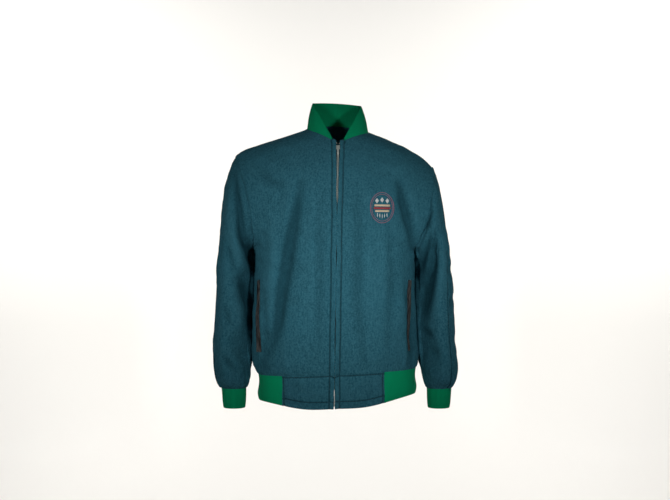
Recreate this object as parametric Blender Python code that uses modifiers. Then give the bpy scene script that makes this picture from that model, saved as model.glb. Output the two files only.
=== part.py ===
"""Bomber jacket in its worn, hollow form: wool fronts, back and sleeves, rib collar, cuffs and hem, zip.

Metres, +Z up, the front faces -Y. The origin lies between the two neck points of the shoulder seams,
where the wearer's shoulders hold the jacket. The wearer's right side is at -X.
Every cloth piece is first an open outer surface. Pieces that meet share their seam points, and sew()
gives both the same rim direction and half of the seam gap, before each surface gets its wall.
"""

import math
from collections import defaultdict, namedtuple

import bmesh
import bpy
import numpy as np
from mathutils import Matrix, Vector

# ---------------------------------------------------------------- driving dimensions (metres, degrees)

WOOL_WALL = 0.0025
RIB_WALL = 0.0030
SEAM_GAP = 0.00035           # between two pieces that are sewn together
LAID_ON = 0.0005             # between a panel and a piece that lies on it

SIDES = {"right": -1.0, "left": 1.0}

SHOULDER_TIP = (0.246, 0.002, -0.081)
ARMPIT = (0.203, 0.002, -0.300)
ARMHOLE_DEPTH = {"front": 0.080, "back": 0.086}
ARMHOLE_PUSH = 5.0           # pull of the armhole's own plane on its seam's rim direction
ARMHOLE_INSET = {"right": 0.020, "left": -0.010}    # how far the front armhole curves in on each side
ARMHOLE_ANGLES = (180, 164, 148, 132, 116, 101, 87, 75, 60, 50, 40, 30, 20, 10, 0)
CORNER_ANGLE = 60                                   # the row that ends at the collar's front corner
STRAIGHT_EDGE_ANGLE = 75                            # from here down the front edge is straight
SQUARE_ANGLE = 85                                   # from here down rows leave the front edge squarely

SHOULDER_BOW = {"right": 0.014, "left": 0.021}      # how full the shoulder line is
SHOULDER_BOW_ANGLE = 80                             # armhole angle of the row where the bow dies out
ROUNDNESS = 0.60             # Bezier handle of a quarter turn of the body, 0.5523 would be an ellipse
LOWER_ROWS = 11              # rows from the armpit to the waist seam
ROW_CROWDING = 0.93          # below 1 the rows lie closer together towards the waist seam
TAB_COLUMNS = 6              # columns of a front over its hem tab
FRONT_COLUMNS = 12
TAB_TURN = {"right": 0.435, "left": 0.385}          # where along the waist row each hem tab ends
HEM_ROWS = 4

# Front edge and neckline by armhole angle: the row's inner end, how far the row turns, its fullness.
Upper = namedtuple("Upper", "angle x y z turn full")
FRONT_UPPER = (
    Upper(180, 0.0055, -0.1400, -0.285, 1.00, 0.000),
    Upper(152, 0.0055, -0.1385, -0.235, 0.80, 0.003),
    Upper(124, 0.0055, -0.1310, -0.174, 0.45, 0.008),
    Upper(97, 0.0055, -0.1150, -0.104, 0.15, 0.011),
    Upper(75, 0.0055, -0.0945, -0.045, 0.04, 0.010),
    Upper(60, 0.0155, -0.0855, -0.031, 0.00, 0.008),
    Upper(0, 0.0765, 0.0, -0.0025, 0.00, 0.000),
)
BACK_UPPER = (
    Upper(180, 0.0, 0.1320, -0.285, 1.00, 0.000),
    Upper(152, 0.0, 0.1350, -0.222, 0.80, 0.003),
    Upper(124, 0.0, 0.1330, -0.148, 0.45, 0.008),
    Upper(97, 0.0, 0.1200, -0.070, 0.18, 0.010),
    Upper(75, 0.0, 0.0960, -0.012, 0.08, 0.008),
    Upper(60, 0.0, 0.0760, 0.018, 0.00, 0.006),
    Upper(0, 0.0765, 0.0, -0.0025, 0.00, 0.000),
)

# Half of the neckline, from the collar's front corner over the neck point to the centre back.
Neck = namedtuple("Neck", "along x y z top_x top_y top_z")
NECKLINE = (
    Neck(0.00, 0.0155, -0.0855, -0.0310, 0.0150, -0.0828, -0.0262),
    Neck(0.30, 0.0445, -0.0635, -0.0180, 0.0305, -0.0580, 0.0030),
    Neck(0.65, 0.0690, -0.0300, -0.0075, 0.0475, -0.0320, 0.0345),
    Neck(1.00, 0.0765, 0.0000, -0.0025, 0.0615, -0.0020, 0.0615),
    Neck(1.35, 0.0690, 0.0340, 0.0050, 0.0570, 0.0290, 0.0670),
    Neck(1.70, 0.0430, 0.0620, 0.0135, 0.0350, 0.0520, 0.0715),
    Neck(2.00, 0.0000, 0.0760, 0.0180, 0.0000, 0.0640, 0.0740),
)
COLLAR_ROWS = 4
COLLAR_BULGE = 0.0030

# Body below the armpit: fall is 0 at the armpit and 1 at the waist seam.
Fall = namedtuple("Fall", "fall side_x front_y back_y")
BODY_FALL = (
    Fall(0.00, 0.2030, -0.1400, 0.1320),
    Fall(0.20, 0.2010, -0.1395, 0.1315),
    Fall(0.45, 0.2010, -0.1380, 0.1295),
    Fall(0.65, 0.2050, -0.1360, 0.1285),
    Fall(0.83, 0.2085, -0.1350, 0.1285),
    Fall(0.95, 0.2050, -0.1335, 0.1270),
    Fall(1.00, 0.1970, -0.1300, 0.1235),
)
ARMPIT_ROW_Z = -0.285
WAIST_Z = {"centre": -0.5985, "side": -0.6010}

# Hem band: scale of the waist ring at each depth of the rib, and the band's heights.
Band = namedtuple("Band", "depth scale")
BAND_PROFILE = (
    Band(0.00, 1.000), Band(0.25, 0.990), Band(0.50, 0.997), Band(0.75, 1.018), Band(1.00, 0.996),
)
BAND_HEIGHT = {"centre_front": 0.0825, "side": 0.0625, "centre_back": 0.0660}
BAND_LIFT_START = 0.25       # share of the half width where the front hem begins to rise
BAND_SWELL = (0.45, 0.95)    # shares of the half width between which the front band takes the profile
TAB_SWELL = 0.35             # share of the profile that the tabs take

# Sleeve rings by the arm's outer and inner side, and top_turn, the top seam's angle towards the front.
Ring = namedtuple("Ring", "outer_x outer_z inner_x inner_z mid_y depth top_turn")
SLEEVE_RINGS = (
    Ring(0.2575, -0.1050, 0.2046, -0.3035, 0.002, 0.0870, 0.06),
    Ring(0.2660, -0.1370, 0.2055, -0.3090, 0.001, 0.0895, 0.15),
    Ring(0.2740, -0.1800, 0.2060, -0.3180, 0.000, 0.0895, 0.30),
    Ring(0.2815, -0.2350, 0.2055, -0.3330, -0.002, 0.0880, 0.50),
    Ring(0.2880, -0.3000, 0.2043, -0.3600, -0.004, 0.0850, 0.70),
    Ring(0.2920, -0.3600, 0.2032, -0.3950, -0.006, 0.0815, 0.85),
    Ring(0.2952, -0.4200, 0.2034, -0.4350, -0.008, 0.0785, 0.95),
    Ring(0.2985, -0.4750, 0.2058, -0.4800, -0.011, 0.0750, 1.00),
    Ring(0.3015, -0.5300, 0.2092, -0.5280, -0.015, 0.0710, 1.00),
    Ring(0.3038, -0.5750, 0.2108, -0.5720, -0.019, 0.0665, 1.00),
    Ring(0.3025, -0.6030, 0.2125, -0.6010, -0.021, 0.0610, 1.00),
    Ring(0.2990, -0.6220, 0.2155, -0.6210, -0.022, 0.0540, 1.00),
    Ring(0.2930, -0.6340, 0.2195, -0.6340, -0.023, 0.0445, 1.00),
    Ring(0.2850, -0.6412, 0.2238, -0.6412, -0.023, 0.0330, 1.00),
)
SLEEVE_BEHIND = 0.034        # how far the inner side of a sleeve lies behind its middle
SLEEVE_BEHIND_Z = (-0.30, -0.36, -0.57, -0.63)      # heights where that starts, is full, fades, is over
TOP_SEAM_TURN = {"right": 14.0, "left": 52.0}
CUFF_RINGS = (
    Ring(0.2842, -0.6540, 0.2234, -0.6540, -0.023, 0.0325, 1.00),
    Ring(0.2832, -0.6680, 0.2238, -0.6680, -0.023, 0.0322, 1.00),
    Ring(0.2820, -0.6820, 0.2246, -0.6820, -0.023, 0.0316, 1.00),
    Ring(0.2800, -0.6900, 0.2262, -0.6900, -0.023, 0.0302, 1.00),
)

# How the jacket hangs on its wearer: a tilt (rise per metre of x) and two sideways shifts by height.
Hang = namedtuple("Hang", "z tilt centre_shift side_shift")
BODY_HANG = (
    Hang(0.08, -0.056, 0.0018, 0.0018),
    Hang(-0.03, -0.056, 0.0050, 0.0005),
    Hang(-0.08, -0.056, 0.0045, -0.0045),
    Hang(-0.14, -0.047, 0.0038, -0.0065),
    Hang(-0.22, -0.030, 0.0022, -0.0060),
    Hang(-0.30, -0.015, 0.0010, -0.0045),
    Hang(-0.45, 0.006, -0.0012, -0.0038),
    Hang(-0.55, 0.030, -0.0030, -0.0022),
    Hang(-0.60, 0.040, -0.0035, 0.0030),
    Hang(-0.70, 0.040, -0.0035, 0.0020),
)
SLEEVE_HANG = BODY_HANG[:6] + (
    Hang(-0.45, 0.000, 0.0010, -0.0036),
    Hang(-0.55, 0.000, 0.0010, -0.0032),
    Hang(-0.64, 0.000, 0.0010, 0.0012),
    Hang(-0.70, 0.000, 0.0010, 0.0012),
)
HANG_HALF_WIDTH = 0.200

# The largest folds, as troughs along a path of (x, z) points on the named piece.
Fold = namedtuple("Fold", "piece depth width path")
FOLDS = (
    Fold("front_right", 0.0070, 0.024,
         ((-0.077, -0.185), (-0.098, -0.240), (-0.110, -0.346), (-0.137, -0.497), (-0.156, -0.585))),
    Fold("front_right", 0.0035, 0.018, ((-0.121, -0.180), (-0.119, -0.235))),
    Fold("front_right", 0.0060, 0.020, ((-0.192, -0.250), (-0.186, -0.330), (-0.188, -0.420))),
    Fold("front_left", 0.0060, 0.018,
         ((0.150, -0.120), (0.161, -0.172), (0.173, -0.213), (0.181, -0.252), (0.186, -0.290))),
    Fold("front_left", 0.0045, 0.022, ((0.172, -0.427), (0.182, -0.498), (0.184, -0.585))),
    Fold("back", 0.0060, 0.022, ((-0.158, -0.130), (-0.172, -0.200), (-0.188, -0.290))),
    Fold("back", 0.0060, 0.022, ((0.160, -0.140), (0.174, -0.205), (0.190, -0.295))),
    Fold("back", 0.0060, 0.028, ((-0.070, -0.230), (-0.095, -0.380), (-0.120, -0.560))),
    Fold("back", 0.0055, 0.028, ((0.085, -0.250), (0.100, -0.400), (0.118, -0.560))),
    Fold("sleeve_front_right", 0.0075, 0.018,
         ((-0.252, -0.150), (-0.243, -0.205), (-0.231, -0.264), (-0.218, -0.320))),
    Fold("sleeve_front_right", 0.0070, 0.016, ((-0.240, -0.360), (-0.226, -0.405), (-0.219, -0.440))),
    Fold("sleeve_front_right", 0.0035, 0.014, ((-0.270, -0.470), (-0.244, -0.490))),
    Fold("sleeve_front_left", 0.0085, 0.020,
         ((0.2405, -0.276), (0.2357, -0.337), (0.226, -0.397), (0.216, -0.455))),
    Fold("sleeve_front_left", 0.0045, 0.015, ((0.226, -0.504), (0.240, -0.520))),
    Fold("sleeve_back_right", 0.0070, 0.020, ((-0.262, -0.190), (-0.245, -0.260), (-0.226, -0.330))),
    Fold("sleeve_back_right", 0.0050, 0.016, ((-0.285, -0.440), (-0.250, -0.470))),
    Fold("sleeve_back_left", 0.0070, 0.020, ((0.258, -0.200), (0.243, -0.270), (0.226, -0.340))),
    Fold("sleeve_back_left", 0.0050, 0.016, ((0.283, -0.450), (0.250, -0.485))),
)
FOLD_FADE_CELLS = 2.0        # folds die out over this many cells from a seam

# Pockets: two leather lips on each front.
POCKET_X = {"right": -0.1895, "left": 0.1811}
POCKET_ENDS = {"right": (-0.3740, -0.5495), "left": (-0.3740, -0.5460)}    # z of the slit's ends
POCKET_SECTIONS = 7
LIP_WIDTH = 0.0080
LIP_WALL = 0.0014
LIP_SLIT = 0.0004

# Zip
TAPE_REACH = 0.0025          # the tape shows this far past the cloth's edge
TAPE_UNDER = 0.0110          # and runs this far under it
TAPE_WALL = 0.0008
CHAIN_HALF = 0.00250
CHAIN_THICK = 0.0022
ZIP_CENTRE_GAP = 0.00015     # half of the gap between the two rows of teeth
ZIP_BOX_Z = (-0.6745, -0.6640)
ZIP_BOX_SIZE = (0.0054, 0.0036)    # width and depth
ZIP_BOX_BEVEL = 0.0004
ZIP_PIN_SIZE = (0.0017, 0.0024)    # width and thickness
ZIP_PIN_TOP_Z = -0.6480
SLIDER_Z = (-0.0568, -0.0462)
SLIDER_CLEAR = 0.0017        # between the slider's ends and the teeth, along the zip
SLIDER_HALF_WIDTH = 0.0043
SLIDER_NECK = 0.0026
SLIDER_PLATE = 0.0011
SLIDER_CORE = 0.0008
BAIL_WIRE = 0.00055
BAIL_HALF = 0.0025
BAIL_RISE = 0.0030
BAIL_FOOT_RISE = 0.0012
PULL_LENGTH = 0.0210
PULL_WALL = 0.0009
PULL_HALF_WIDTH = 0.0025
PULL_BAR_HALF = 0.00045      # half the height of the bar above its eye
PULL_EYE_HALF = 0.00115
PULL_EYE_LOW = -0.0054
PULL_PIVOT_RISE = 0.0012     # from the slider's plate to the middle of the pull's top bar
PULL_PIVOT_DROP = 0.0010     # below the middle of the slider

Finish = namedtuple("Finish", "colour roughness metallic")
FINISHES = {
    "wool": Finish((0.018, 0.083, 0.110), 0.95, 0.0),
    "rib": Finish((0.003, 0.150, 0.060), 0.90, 0.0),
    "leather": Finish((0.030, 0.016, 0.013), 0.45, 0.0),
    "tape": Finish((0.012, 0.045, 0.050), 0.90, 0.0),
    "zip_metal": Finish((0.62, 0.61, 0.58), 0.30, 1.0),
}


# ---------------------------------------------------------------- small helpers

def spline(table, key, column, at):
    """Cubic Hermite through a table's column, with slopes that don't overshoot at the ends."""
    keys = np.array([getattr(row, key) for row in table], float)
    values = np.array([getattr(row, column) for row in table], float)
    if keys[0] > keys[-1]:
        keys, values = keys[::-1], values[::-1]
    slopes = np.gradient(values, keys)
    k = int(np.clip(np.searchsorted(keys, at) - 1, 0, len(keys) - 2))
    width = keys[k + 1] - keys[k]
    t = float(np.clip((at - keys[k]) / width, 0.0, 1.0))
    start, end = (1 + 2 * t) * (1 - t) ** 2, t * t * (3 - 2 * t)
    return (start * values[k] + end * values[k + 1]
            + width * (t * (1 - t) ** 2 * slopes[k] - t * t * (1 - t) * slopes[k + 1]))


def unit(vector):
    """Vector of length one, or zero where there is no direction."""
    length = np.linalg.norm(vector)
    return vector / length if length > 1e-12 else vector * 0.0


def smoothstep(low, high, value):
    """0 at low, 1 at high, smooth between and level beyond."""
    t = float(np.clip((value - low) / (high - low), 0.0, 1.0))
    return t * t * (3 - 2 * t)


def hang(point, table):
    """Move a point of the level, symmetric jacket to where it hangs on the wearer."""
    x, y, z = point
    level = float(np.clip(z, table[-1].z, table[0].z))
    tilt, centre, side = (spline(table, "z", column, level) for column in Hang._fields[1:])
    share = min((abs(x) / HANG_HALF_WIDTH) ** 2, 1.0)
    return np.array((x + centre + (side - centre) * share, y, z + tilt * x))


def distance_to_path(x, z, path):
    """Distance in the XZ plane, and how far along the path the nearest point is (0 to 1)."""
    best, along = 1.0, 0.0
    for k, (a, b) in enumerate(zip(path, path[1:])):
        a, b = np.array(a), np.array(b)
        t = float(np.clip(np.dot((x, z) - a, b - a) / np.dot(b - a, b - a), 0.0, 1.0))
        gap = np.linalg.norm((x, z) - a - t * (b - a))
        if gap < best:
            best, along = gap, (k + t) / (len(path) - 1)
    return best, along


def fold_depth(piece, point):
    """How far the largest folds push this point of the piece inwards."""
    depth = 0.0
    for fold in FOLDS:
        if fold.piece == piece:
            gap, along = distance_to_path(point[0], point[2], fold.path)
            depth += fold.depth * math.exp(-(gap / fold.width) ** 2) * (0.45 + 0.55 * math.sin(math.pi * along))
    return depth


def push_in(piece, grid, axes, seamed_start=True):
    """Press the folds into a grid of points, towards each row's axis point, fading at its seams."""
    rows, columns = grid.shape[:2]
    for r in range(rows):
        for c in range(columns):
            from_start = c if seamed_start else columns
            edge = min(r, rows - 1 - r, from_start, columns - 1 - c) / FOLD_FADE_CELLS
            away = unit((grid[r, c] - axes[r]) * (1.0, 1.0, 0.0))
            grid[r, c] -= away * fold_depth(piece, grid[r, c]) * smoothstep(0.0, 1.0, edge)
    return grid


# ---------------------------------------------------------------- cloth pieces and their seams

class Cloth:
    """One cut piece: an open outer surface of quads, which sew() turns into a wall."""

    def __init__(self, name, wall, finish):
        self.name, self.wall, self.finish = name, wall, finish
        self.points, self.quads, self.index, self.grids = [], [], {}, {}
        self.outer = self.inner = self.rim = None

    def add(self, grid_name, grid, closed=False, flip=False):
        """Add a grid of points; points that are there already are shared."""
        ids = np.array([[self.point(p) for p in row] for row in grid])
        if closed:
            ids = np.hstack([ids, ids[:, :1]])
        for r in range(ids.shape[0] - 1):
            for c in range(ids.shape[1] - 1):
                quad = [ids[r, c], ids[r, c + 1], ids[r + 1, c + 1], ids[r + 1, c]]
                self.quads.append(quad[::-1] if flip else quad)
        self.grids[grid_name] = ids

    def point(self, place):
        """Index of a point, made when it is new."""
        key = seam_key(place)
        if key not in self.index:
            self.index[key] = len(self.points)
            self.points.append(np.array(place, float))
        return self.index[key]

    def normals(self):
        """Normals of the open surface at its points, each quad weighted by its corner's angle."""
        result = np.zeros((len(self.points), 3))
        for quad in self.quads:
            corners = [self.points[k] for k in quad]
            face = unit(np.cross(corners[2] - corners[0], corners[3] - corners[1]))
            for k, place in enumerate(corners):
                ahead, behind = unit(corners[(k + 1) % 4] - place), unit(corners[k - 1] - place)
                result[quad[k]] += face * math.acos(np.clip(np.dot(ahead, behind), -1.0, 1.0))
        return result

    def borders(self):
        """Edges with one quad only, each with that quad."""
        owners = defaultdict(list)
        for quad in self.quads:
            for a, b in zip(quad, quad[1:] + quad[:1]):
                owners[frozenset((a, b))].append((a, b, quad))
        return [found[0] for found in owners.values() if len(found) == 1]

    def build(self):
        """The closed wall as an object: outer skin, inner skin and the rim between them."""
        mesh = bmesh.new()
        outer = [mesh.verts.new(p) for p in self.outer]
        inner = [mesh.verts.new(p) for p in self.inner]
        for quad in self.quads:
            mesh.faces.new([outer[k] for k in quad])
            mesh.faces.new([inner[k] for k in reversed(quad)])
        for a, b, _ in self.borders():
            mesh.faces.new((outer[b], outer[a], inner[a], inner[b]))
        return finish_object(self.name, mesh, self.finish)


def seam_key(place):
    """Points closer than a hundredth of a millimetre are the same seam point."""
    return tuple(int(round(v * 1e5)) for v in place)


def sew(pieces, armholes):
    """Give pieces that share points one rim direction there, and open the seam gap between them."""
    together, count = defaultdict(lambda: np.zeros(3)), defaultdict(int)
    own = {}
    for piece in pieces:
        normals = piece.normals()
        own[piece] = np.array([unit(n) for n in normals])
        for key, k in piece.index.items():
            together[key] += normals[k]
            count[key] += 1
    for key, outward in armholes.items():
        together[key] += ARMHOLE_PUSH * outward
    for piece in pieces:
        piece.rim = np.array(own[piece])
        ways = defaultdict(list)
        for key, k in piece.index.items():
            piece.rim[k] = unit(together[key])
        keys = {k: key for key, k in piece.index.items()}
        for a, b, quad in piece.borders():
            if count[keys[a]] < 2 or count[keys[b]] < 2:
                continue
            corners = [piece.points[k] for k in quad]
            along = unit(piece.points[b] - piece.points[a])
            into = np.mean(corners, axis=0) - (piece.points[a] + piece.points[b]) / 2
            into = unit(into - along * np.dot(into, along))
            face = unit(np.cross(corners[2] - corners[0], corners[3] - corners[1]))
            for k in (a, b):
                rim = unit(piece.rim[k] - along * np.dot(piece.rim[k], along))
                away = into - face
                ways[k].append(unit(away - along * np.dot(away, along) - rim * np.dot(away, rim)))
        piece.outer = np.array(piece.points)
        for k, aways in ways.items():
            shift = np.linalg.pinv(np.array(aways), rcond=0.3) @ np.full(len(aways), SEAM_GAP / 2)
            piece.outer[k] += shift * min(1.0, SEAM_GAP / np.linalg.norm(shift))
        lean = np.einsum("ij,ij->i", piece.rim, own[piece])
        reach = piece.wall / np.clip(lean, 0.80, 1.0)
        piece.inner = piece.outer - piece.rim * reach[:, None]


def finish_object(name, mesh, finish, smooth=True):
    """Make an object from a bmesh, with its material, in the jacket's collection."""
    data = bpy.data.meshes.new(name)
    mesh.to_mesh(data)
    mesh.free()
    return place_object(bpy.data.objects.new(name, data), finish, smooth)


def place_object(thing, finish, smooth=True):
    """Link an object to the jacket's collection and give it its material."""
    thing.data.materials.append(material(finish))
    if smooth and thing.type == "MESH":
        thing.data.shade_smooth()
        thing.data.set_sharp_from_angle(angle=math.radians(50))
    bpy.data.collections["bomber_jacket"].objects.link(thing)
    return thing


def material(finish):
    """Principled material of a finish, made once."""
    if finish in bpy.data.materials:
        return bpy.data.materials[finish]
    look = FINISHES[finish]
    made = bpy.data.materials.new(finish)
    made.use_nodes = True
    shader = made.node_tree.nodes["Principled BSDF"]
    shader.inputs["Base Color"].default_value = (*look.colour, 1.0)
    shader.inputs["Roughness"].default_value = look.roughness
    shader.inputs["Metallic"].default_value = look.metallic
    return made


# ---------------------------------------------------------------- body: fronts and back

def armhole(side, face, angle):
    """Seam point of the armhole: 0 degrees at the shoulder tip, 180 at the armpit."""
    turn = math.radians(angle)
    tip, pit = np.array(SHOULDER_TIP), np.array(ARMPIT)
    place = (tip + pit) / 2 + (tip - pit) / 2 * math.cos(turn)
    place[1] += ARMHOLE_DEPTH[face] * math.sin(turn) * (-1.0 if face == "front" else 1.0)
    if face == "front":
        place[0] -= ARMHOLE_INSET[side] * math.sin(turn) ** 2
    return place


def neckline(along):
    """Seam point between collar and body, 0 at the front corner, 1 at the neck point, 2 at the back."""
    return np.array([spline(NECKLINE, "along", column, along) for column in "xyz"])


def body_row(inner, outer, turn, full, square, bow, stations):
    """Points of one row from its inner to its outer end: a turn round the body or a gentler run."""
    span = outer - inner
    reach = np.array((ROUNDNESS * span[0], 0.0, span[2] / 3))
    drop = np.array((0.0, -ROUNDNESS * span[1], -span[2] / 3))
    flat = span / 3 * (1.0, 1.0 - square, 1.0)
    first = inner + turn * reach + (1 - turn) * flat
    second = outer + turn * drop - (1 - turn) * span / 3
    row = []
    for t in stations:
        place = ((1 - t) ** 3 * inner + 3 * t * (1 - t) ** 2 * first
                 + 3 * t * t * (1 - t) * second + t ** 3 * outer)
        place[1] += math.copysign(full, inner[1]) * math.sin(math.pi * t)
        place[2] += bow * t ** 1.2 * (1.0 - t ** 6)
        row.append(place)
    return row


def upper_rows(side, face, stations):
    """Rows from the armpit up to the shoulder seam."""
    table = FRONT_UPPER if face == "front" else BACK_UPPER
    rows = []
    for angle in ARMHOLE_ANGLES:
        column = {name: spline(table, "angle", name, angle) for name in Upper._fields[1:]}
        inner = np.array((column["x"], column["y"], column["z"]))
        if angle >= STRAIGHT_EDGE_ANGLE and face == "front":
            inner[0] = table[0].x
        if angle >= CORNER_ANGLE and face == "back":
            inner[0] = 0.0
        if angle < CORNER_ANGLE:
            share = 1.0 - angle / CORNER_ANGLE
            inner = neckline(share if face == "front" else 2.0 - share)
        square = smoothstep(CORNER_ANGLE, SQUARE_ANGLE, angle)
        full = max(column["full"], 0.0)
        turn = float(np.clip(column["turn"], 0.0, 1.0))
        bow = SHOULDER_BOW[side] * (1.0 - smoothstep(0.0, SHOULDER_BOW_ANGLE, angle))
        rows.append(body_row(inner, armhole(side, face, angle), turn, full, square, bow, stations))
    return rows[::-1]


def lower_rows(face, stations):
    """Rows from below the armpit down to the waist seam."""
    rows = []
    for k in range(1, LOWER_ROWS + 1):
        fall = (k / LOWER_ROWS) ** ROW_CROWDING
        side_x = spline(BODY_FALL, "fall", "side_x", fall)
        depth = spline(BODY_FALL, "fall", face + "_y", fall)
        inner = np.array((FRONT_UPPER[0].x if face == "front" else 0.0, depth,
                          ARMPIT_ROW_Z + (WAIST_Z["centre"] - ARMPIT_ROW_Z) * fall))
        outer = np.array((side_x, ARMPIT[1], ARMPIT[2] + (WAIST_Z["side"] - ARMPIT[2]) * fall))
        rows.append(body_row(inner, outer, 1.0, 0.0, 1.0, 0.0, stations))
    return rows


def front_stations(side):
    """Column places of a front: one column ends where the hem tab does."""
    split = TAB_TURN[side]
    tab = [split * k / TAB_COLUMNS for k in range(TAB_COLUMNS)]
    rest = FRONT_COLUMNS - TAB_COLUMNS
    return tab + [split + (1 - split) * k / rest for k in range(rest + 1)]


def hung_grid(rows, side, tables):
    """Mirror to the right side where needed and hang each row on the wearer by its table."""
    flip = np.array((SIDES[side], 1.0, 1.0))
    return np.array([[hang(p * flip, table) for p in row] for row, table in zip(rows, tables)])


def body_grid(rows, side, piece, seamed_start=True):
    """A half front or back hung on the wearer, its folds pressed towards the body's axis."""
    grid = hung_grid(rows, side, [BODY_HANG] * len(rows))
    return push_in(piece, grid, np.zeros((len(rows), 3)), seamed_start)


def body_pieces():
    """Both fronts and the back, with rows from the shoulder seam down to the waist seam."""
    pieces = {}
    for side in SIDES:
        name = "front_" + side
        stations = front_stations(side)
        rows = upper_rows(side, "front", stations) + lower_rows("front", stations)
        pieces[name] = Cloth(name, WOOL_WALL, "wool")
        pieces[name].add("panel", body_grid(rows, side, name), flip=side == "left")
    pieces["back"] = Cloth("back", WOOL_WALL, "wool")
    for side in SIDES:
        stations = front_stations(side)
        rows = upper_rows(side, "back", stations) + lower_rows("back", stations)
        pieces["back"].add(side, body_grid(rows, side, "back", False), flip=side == "right")
    return pieces


# ---------------------------------------------------------------- sleeves and cuffs

def ring_point(ring, angle, inset):
    """Point of a sleeve ring: 0 degrees outside the arm, 90 in front, 180 inside, negative behind."""
    turn = math.radians(angle)
    outer = np.array((ring.outer_x, 0.0, ring.outer_z))
    inner = np.array((ring.inner_x, 0.0, ring.inner_z))
    place = (outer + inner) / 2 + (outer - inner) / 2 * math.cos(turn)
    place[1] = ring.mid_y - ring.depth * math.sin(turn)
    start, full, fading, over = SLEEVE_BEHIND_Z
    behind = smoothstep(start, full, ring.inner_z) * (1.0 - smoothstep(fading, over, ring.inner_z))
    place[1] += SLEEVE_BEHIND * behind * ((1.0 - math.cos(turn)) / 2) ** 1.5
    if angle > 0:
        place[0] -= inset * math.sin(turn) ** 2
    return place


def sleeve_angle(side, face, ring, share):
    """Angle at a share (0 at the top seam, 1 under the arm) of a half sleeve."""
    top = TOP_SEAM_TURN[side] * ring.top_turn
    return top + (180.0 - top) * share if face == "front" else top - (180.0 + top) * share


def sleeve_rows(side, face, rings, inset_of):
    """Rows of a half sleeve, one for each ring."""
    rows = []
    for k, ring in enumerate(rings):
        shares = [angle / 180.0 for angle in reversed(ARMHOLE_ANGLES)]
        rows.append([ring_point(ring, sleeve_angle(side, face, ring, share), inset_of(k))
                     for share in shares])
    return rows


def hung_sleeve(rows, side, piece):
    """A half sleeve hung on the wearer, its folds pressed towards the arm's axis."""
    grid = hung_grid(rows, side, [BODY_HANG] + [SLEEVE_HANG] * (len(rows) - 1))
    axes = np.array([(row[0] + row[-1]) / 2 for row in grid])
    return push_in(piece, grid, axes)


def sleeve_pieces():
    """Two halves and a cuff for each sleeve."""
    pieces = {}
    for side in SIDES:
        for face in ("front", "back"):
            name = "sleeve_" + face + "_" + side
            first = [armhole(side, face, angle) for angle in reversed(ARMHOLE_ANGLES)]
            rows = [first] + sleeve_rows(side, face, SLEEVE_RINGS,
                                         lambda k: ARMHOLE_INSET[side] * max(0.75 - 0.25 * k, 0.0))
            pieces[name] = Cloth(name, WOOL_WALL, "wool")
            outward = (side == "left") != (face == "front")
            pieces[name].add("panel", hung_sleeve(rows, side, name), flip=outward)
        name = "cuff_" + side
        rings = (SLEEVE_RINGS[-1],) + CUFF_RINGS
        front = sleeve_rows(side, "front", rings, lambda k: 0.0)
        back = sleeve_rows(side, "back", rings, lambda k: 0.0)
        rows = [a + b[-2:0:-1] for a, b in zip(front, back)]
        pieces[name] = Cloth(name, RIB_WALL, "rib")
        pieces[name].add("tube", hung_grid(rows, side, [SLEEVE_HANG] * len(rows)), closed=True,
                         flip=side == "right")
    return pieces


def armhole_outwards():
    """For each armhole seam point, the direction away from the middle of the armhole."""
    outwards = {}
    for side in SIDES:
        flip = np.array((SIDES[side], 1.0, 1.0))
        middle = hang((np.array(SHOULDER_TIP) + np.array(ARMPIT)) / 2 * flip, BODY_HANG)
        for face in ("front", "back"):
            for angle in ARMHOLE_ANGLES:
                place = hang(armhole(side, face, angle) * flip, BODY_HANG)
                outwards[seam_key(place)] = unit(place - middle)
    return outwards


# ---------------------------------------------------------------- collar and hem band

def collar_piece():
    """Rib collar from one front corner round the neck to the other."""
    shares = [1.0 - angle / CORNER_ANGLE for angle in ARMHOLE_ANGLES if angle <= CORNER_ANGLE]
    half = shares + [2.0 - share for share in shares[-2::-1]]
    collar = Cloth("collar", RIB_WALL, "rib")
    grid = []
    for rise in [k / COLLAR_ROWS for k in range(COLLAR_ROWS + 1)]:
        row = []
        for side, places in (("right", half), ("left", half[-2::-1])):
            for along in places:
                base = neckline(along)
                top = np.array([spline(NECKLINE, "along", "top_" + c, along) for c in "xyz"])
                place = base + (top - base) * rise
                bulge = COLLAR_BULGE * math.sin(math.pi * rise) * smoothstep(0.0, 0.6, along)
                place += unit(place * (1.0, 1.0, 0.0)) * bulge
                row.append(hang(place * (SIDES[side], 1.0, 1.0), BODY_HANG))
        grid.append(row)
    collar.add("strip", np.array(grid), flip=True)
    return collar


def band_point(waist, depth):
    """Point of the hem band below a point of the waist seam; depth is 0 at the seam and 1 at the hem."""
    half = min(abs(waist[0]) / HANG_HALF_WIDTH, 1.0)
    if waist[1] < 0:
        height = BAND_HEIGHT["centre_front"] + (
            BAND_HEIGHT["side"] - BAND_HEIGHT["centre_front"]) * smoothstep(BAND_LIFT_START, 1.0, half)
        share = smoothstep(*BAND_SWELL, half)
    else:
        height = BAND_HEIGHT["centre_back"] + (
            BAND_HEIGHT["side"] - BAND_HEIGHT["centre_back"]) * smoothstep(0.0, 1.0, half)
        share = 1.0
    scale = 1.0 + (spline(BAND_PROFILE, "depth", "scale", depth) - 1.0) * (TAB_SWELL + (1.0 - TAB_SWELL) * share)
    return np.array((waist[0] * scale, waist[1] * scale, waist[2] - height * depth))


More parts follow.
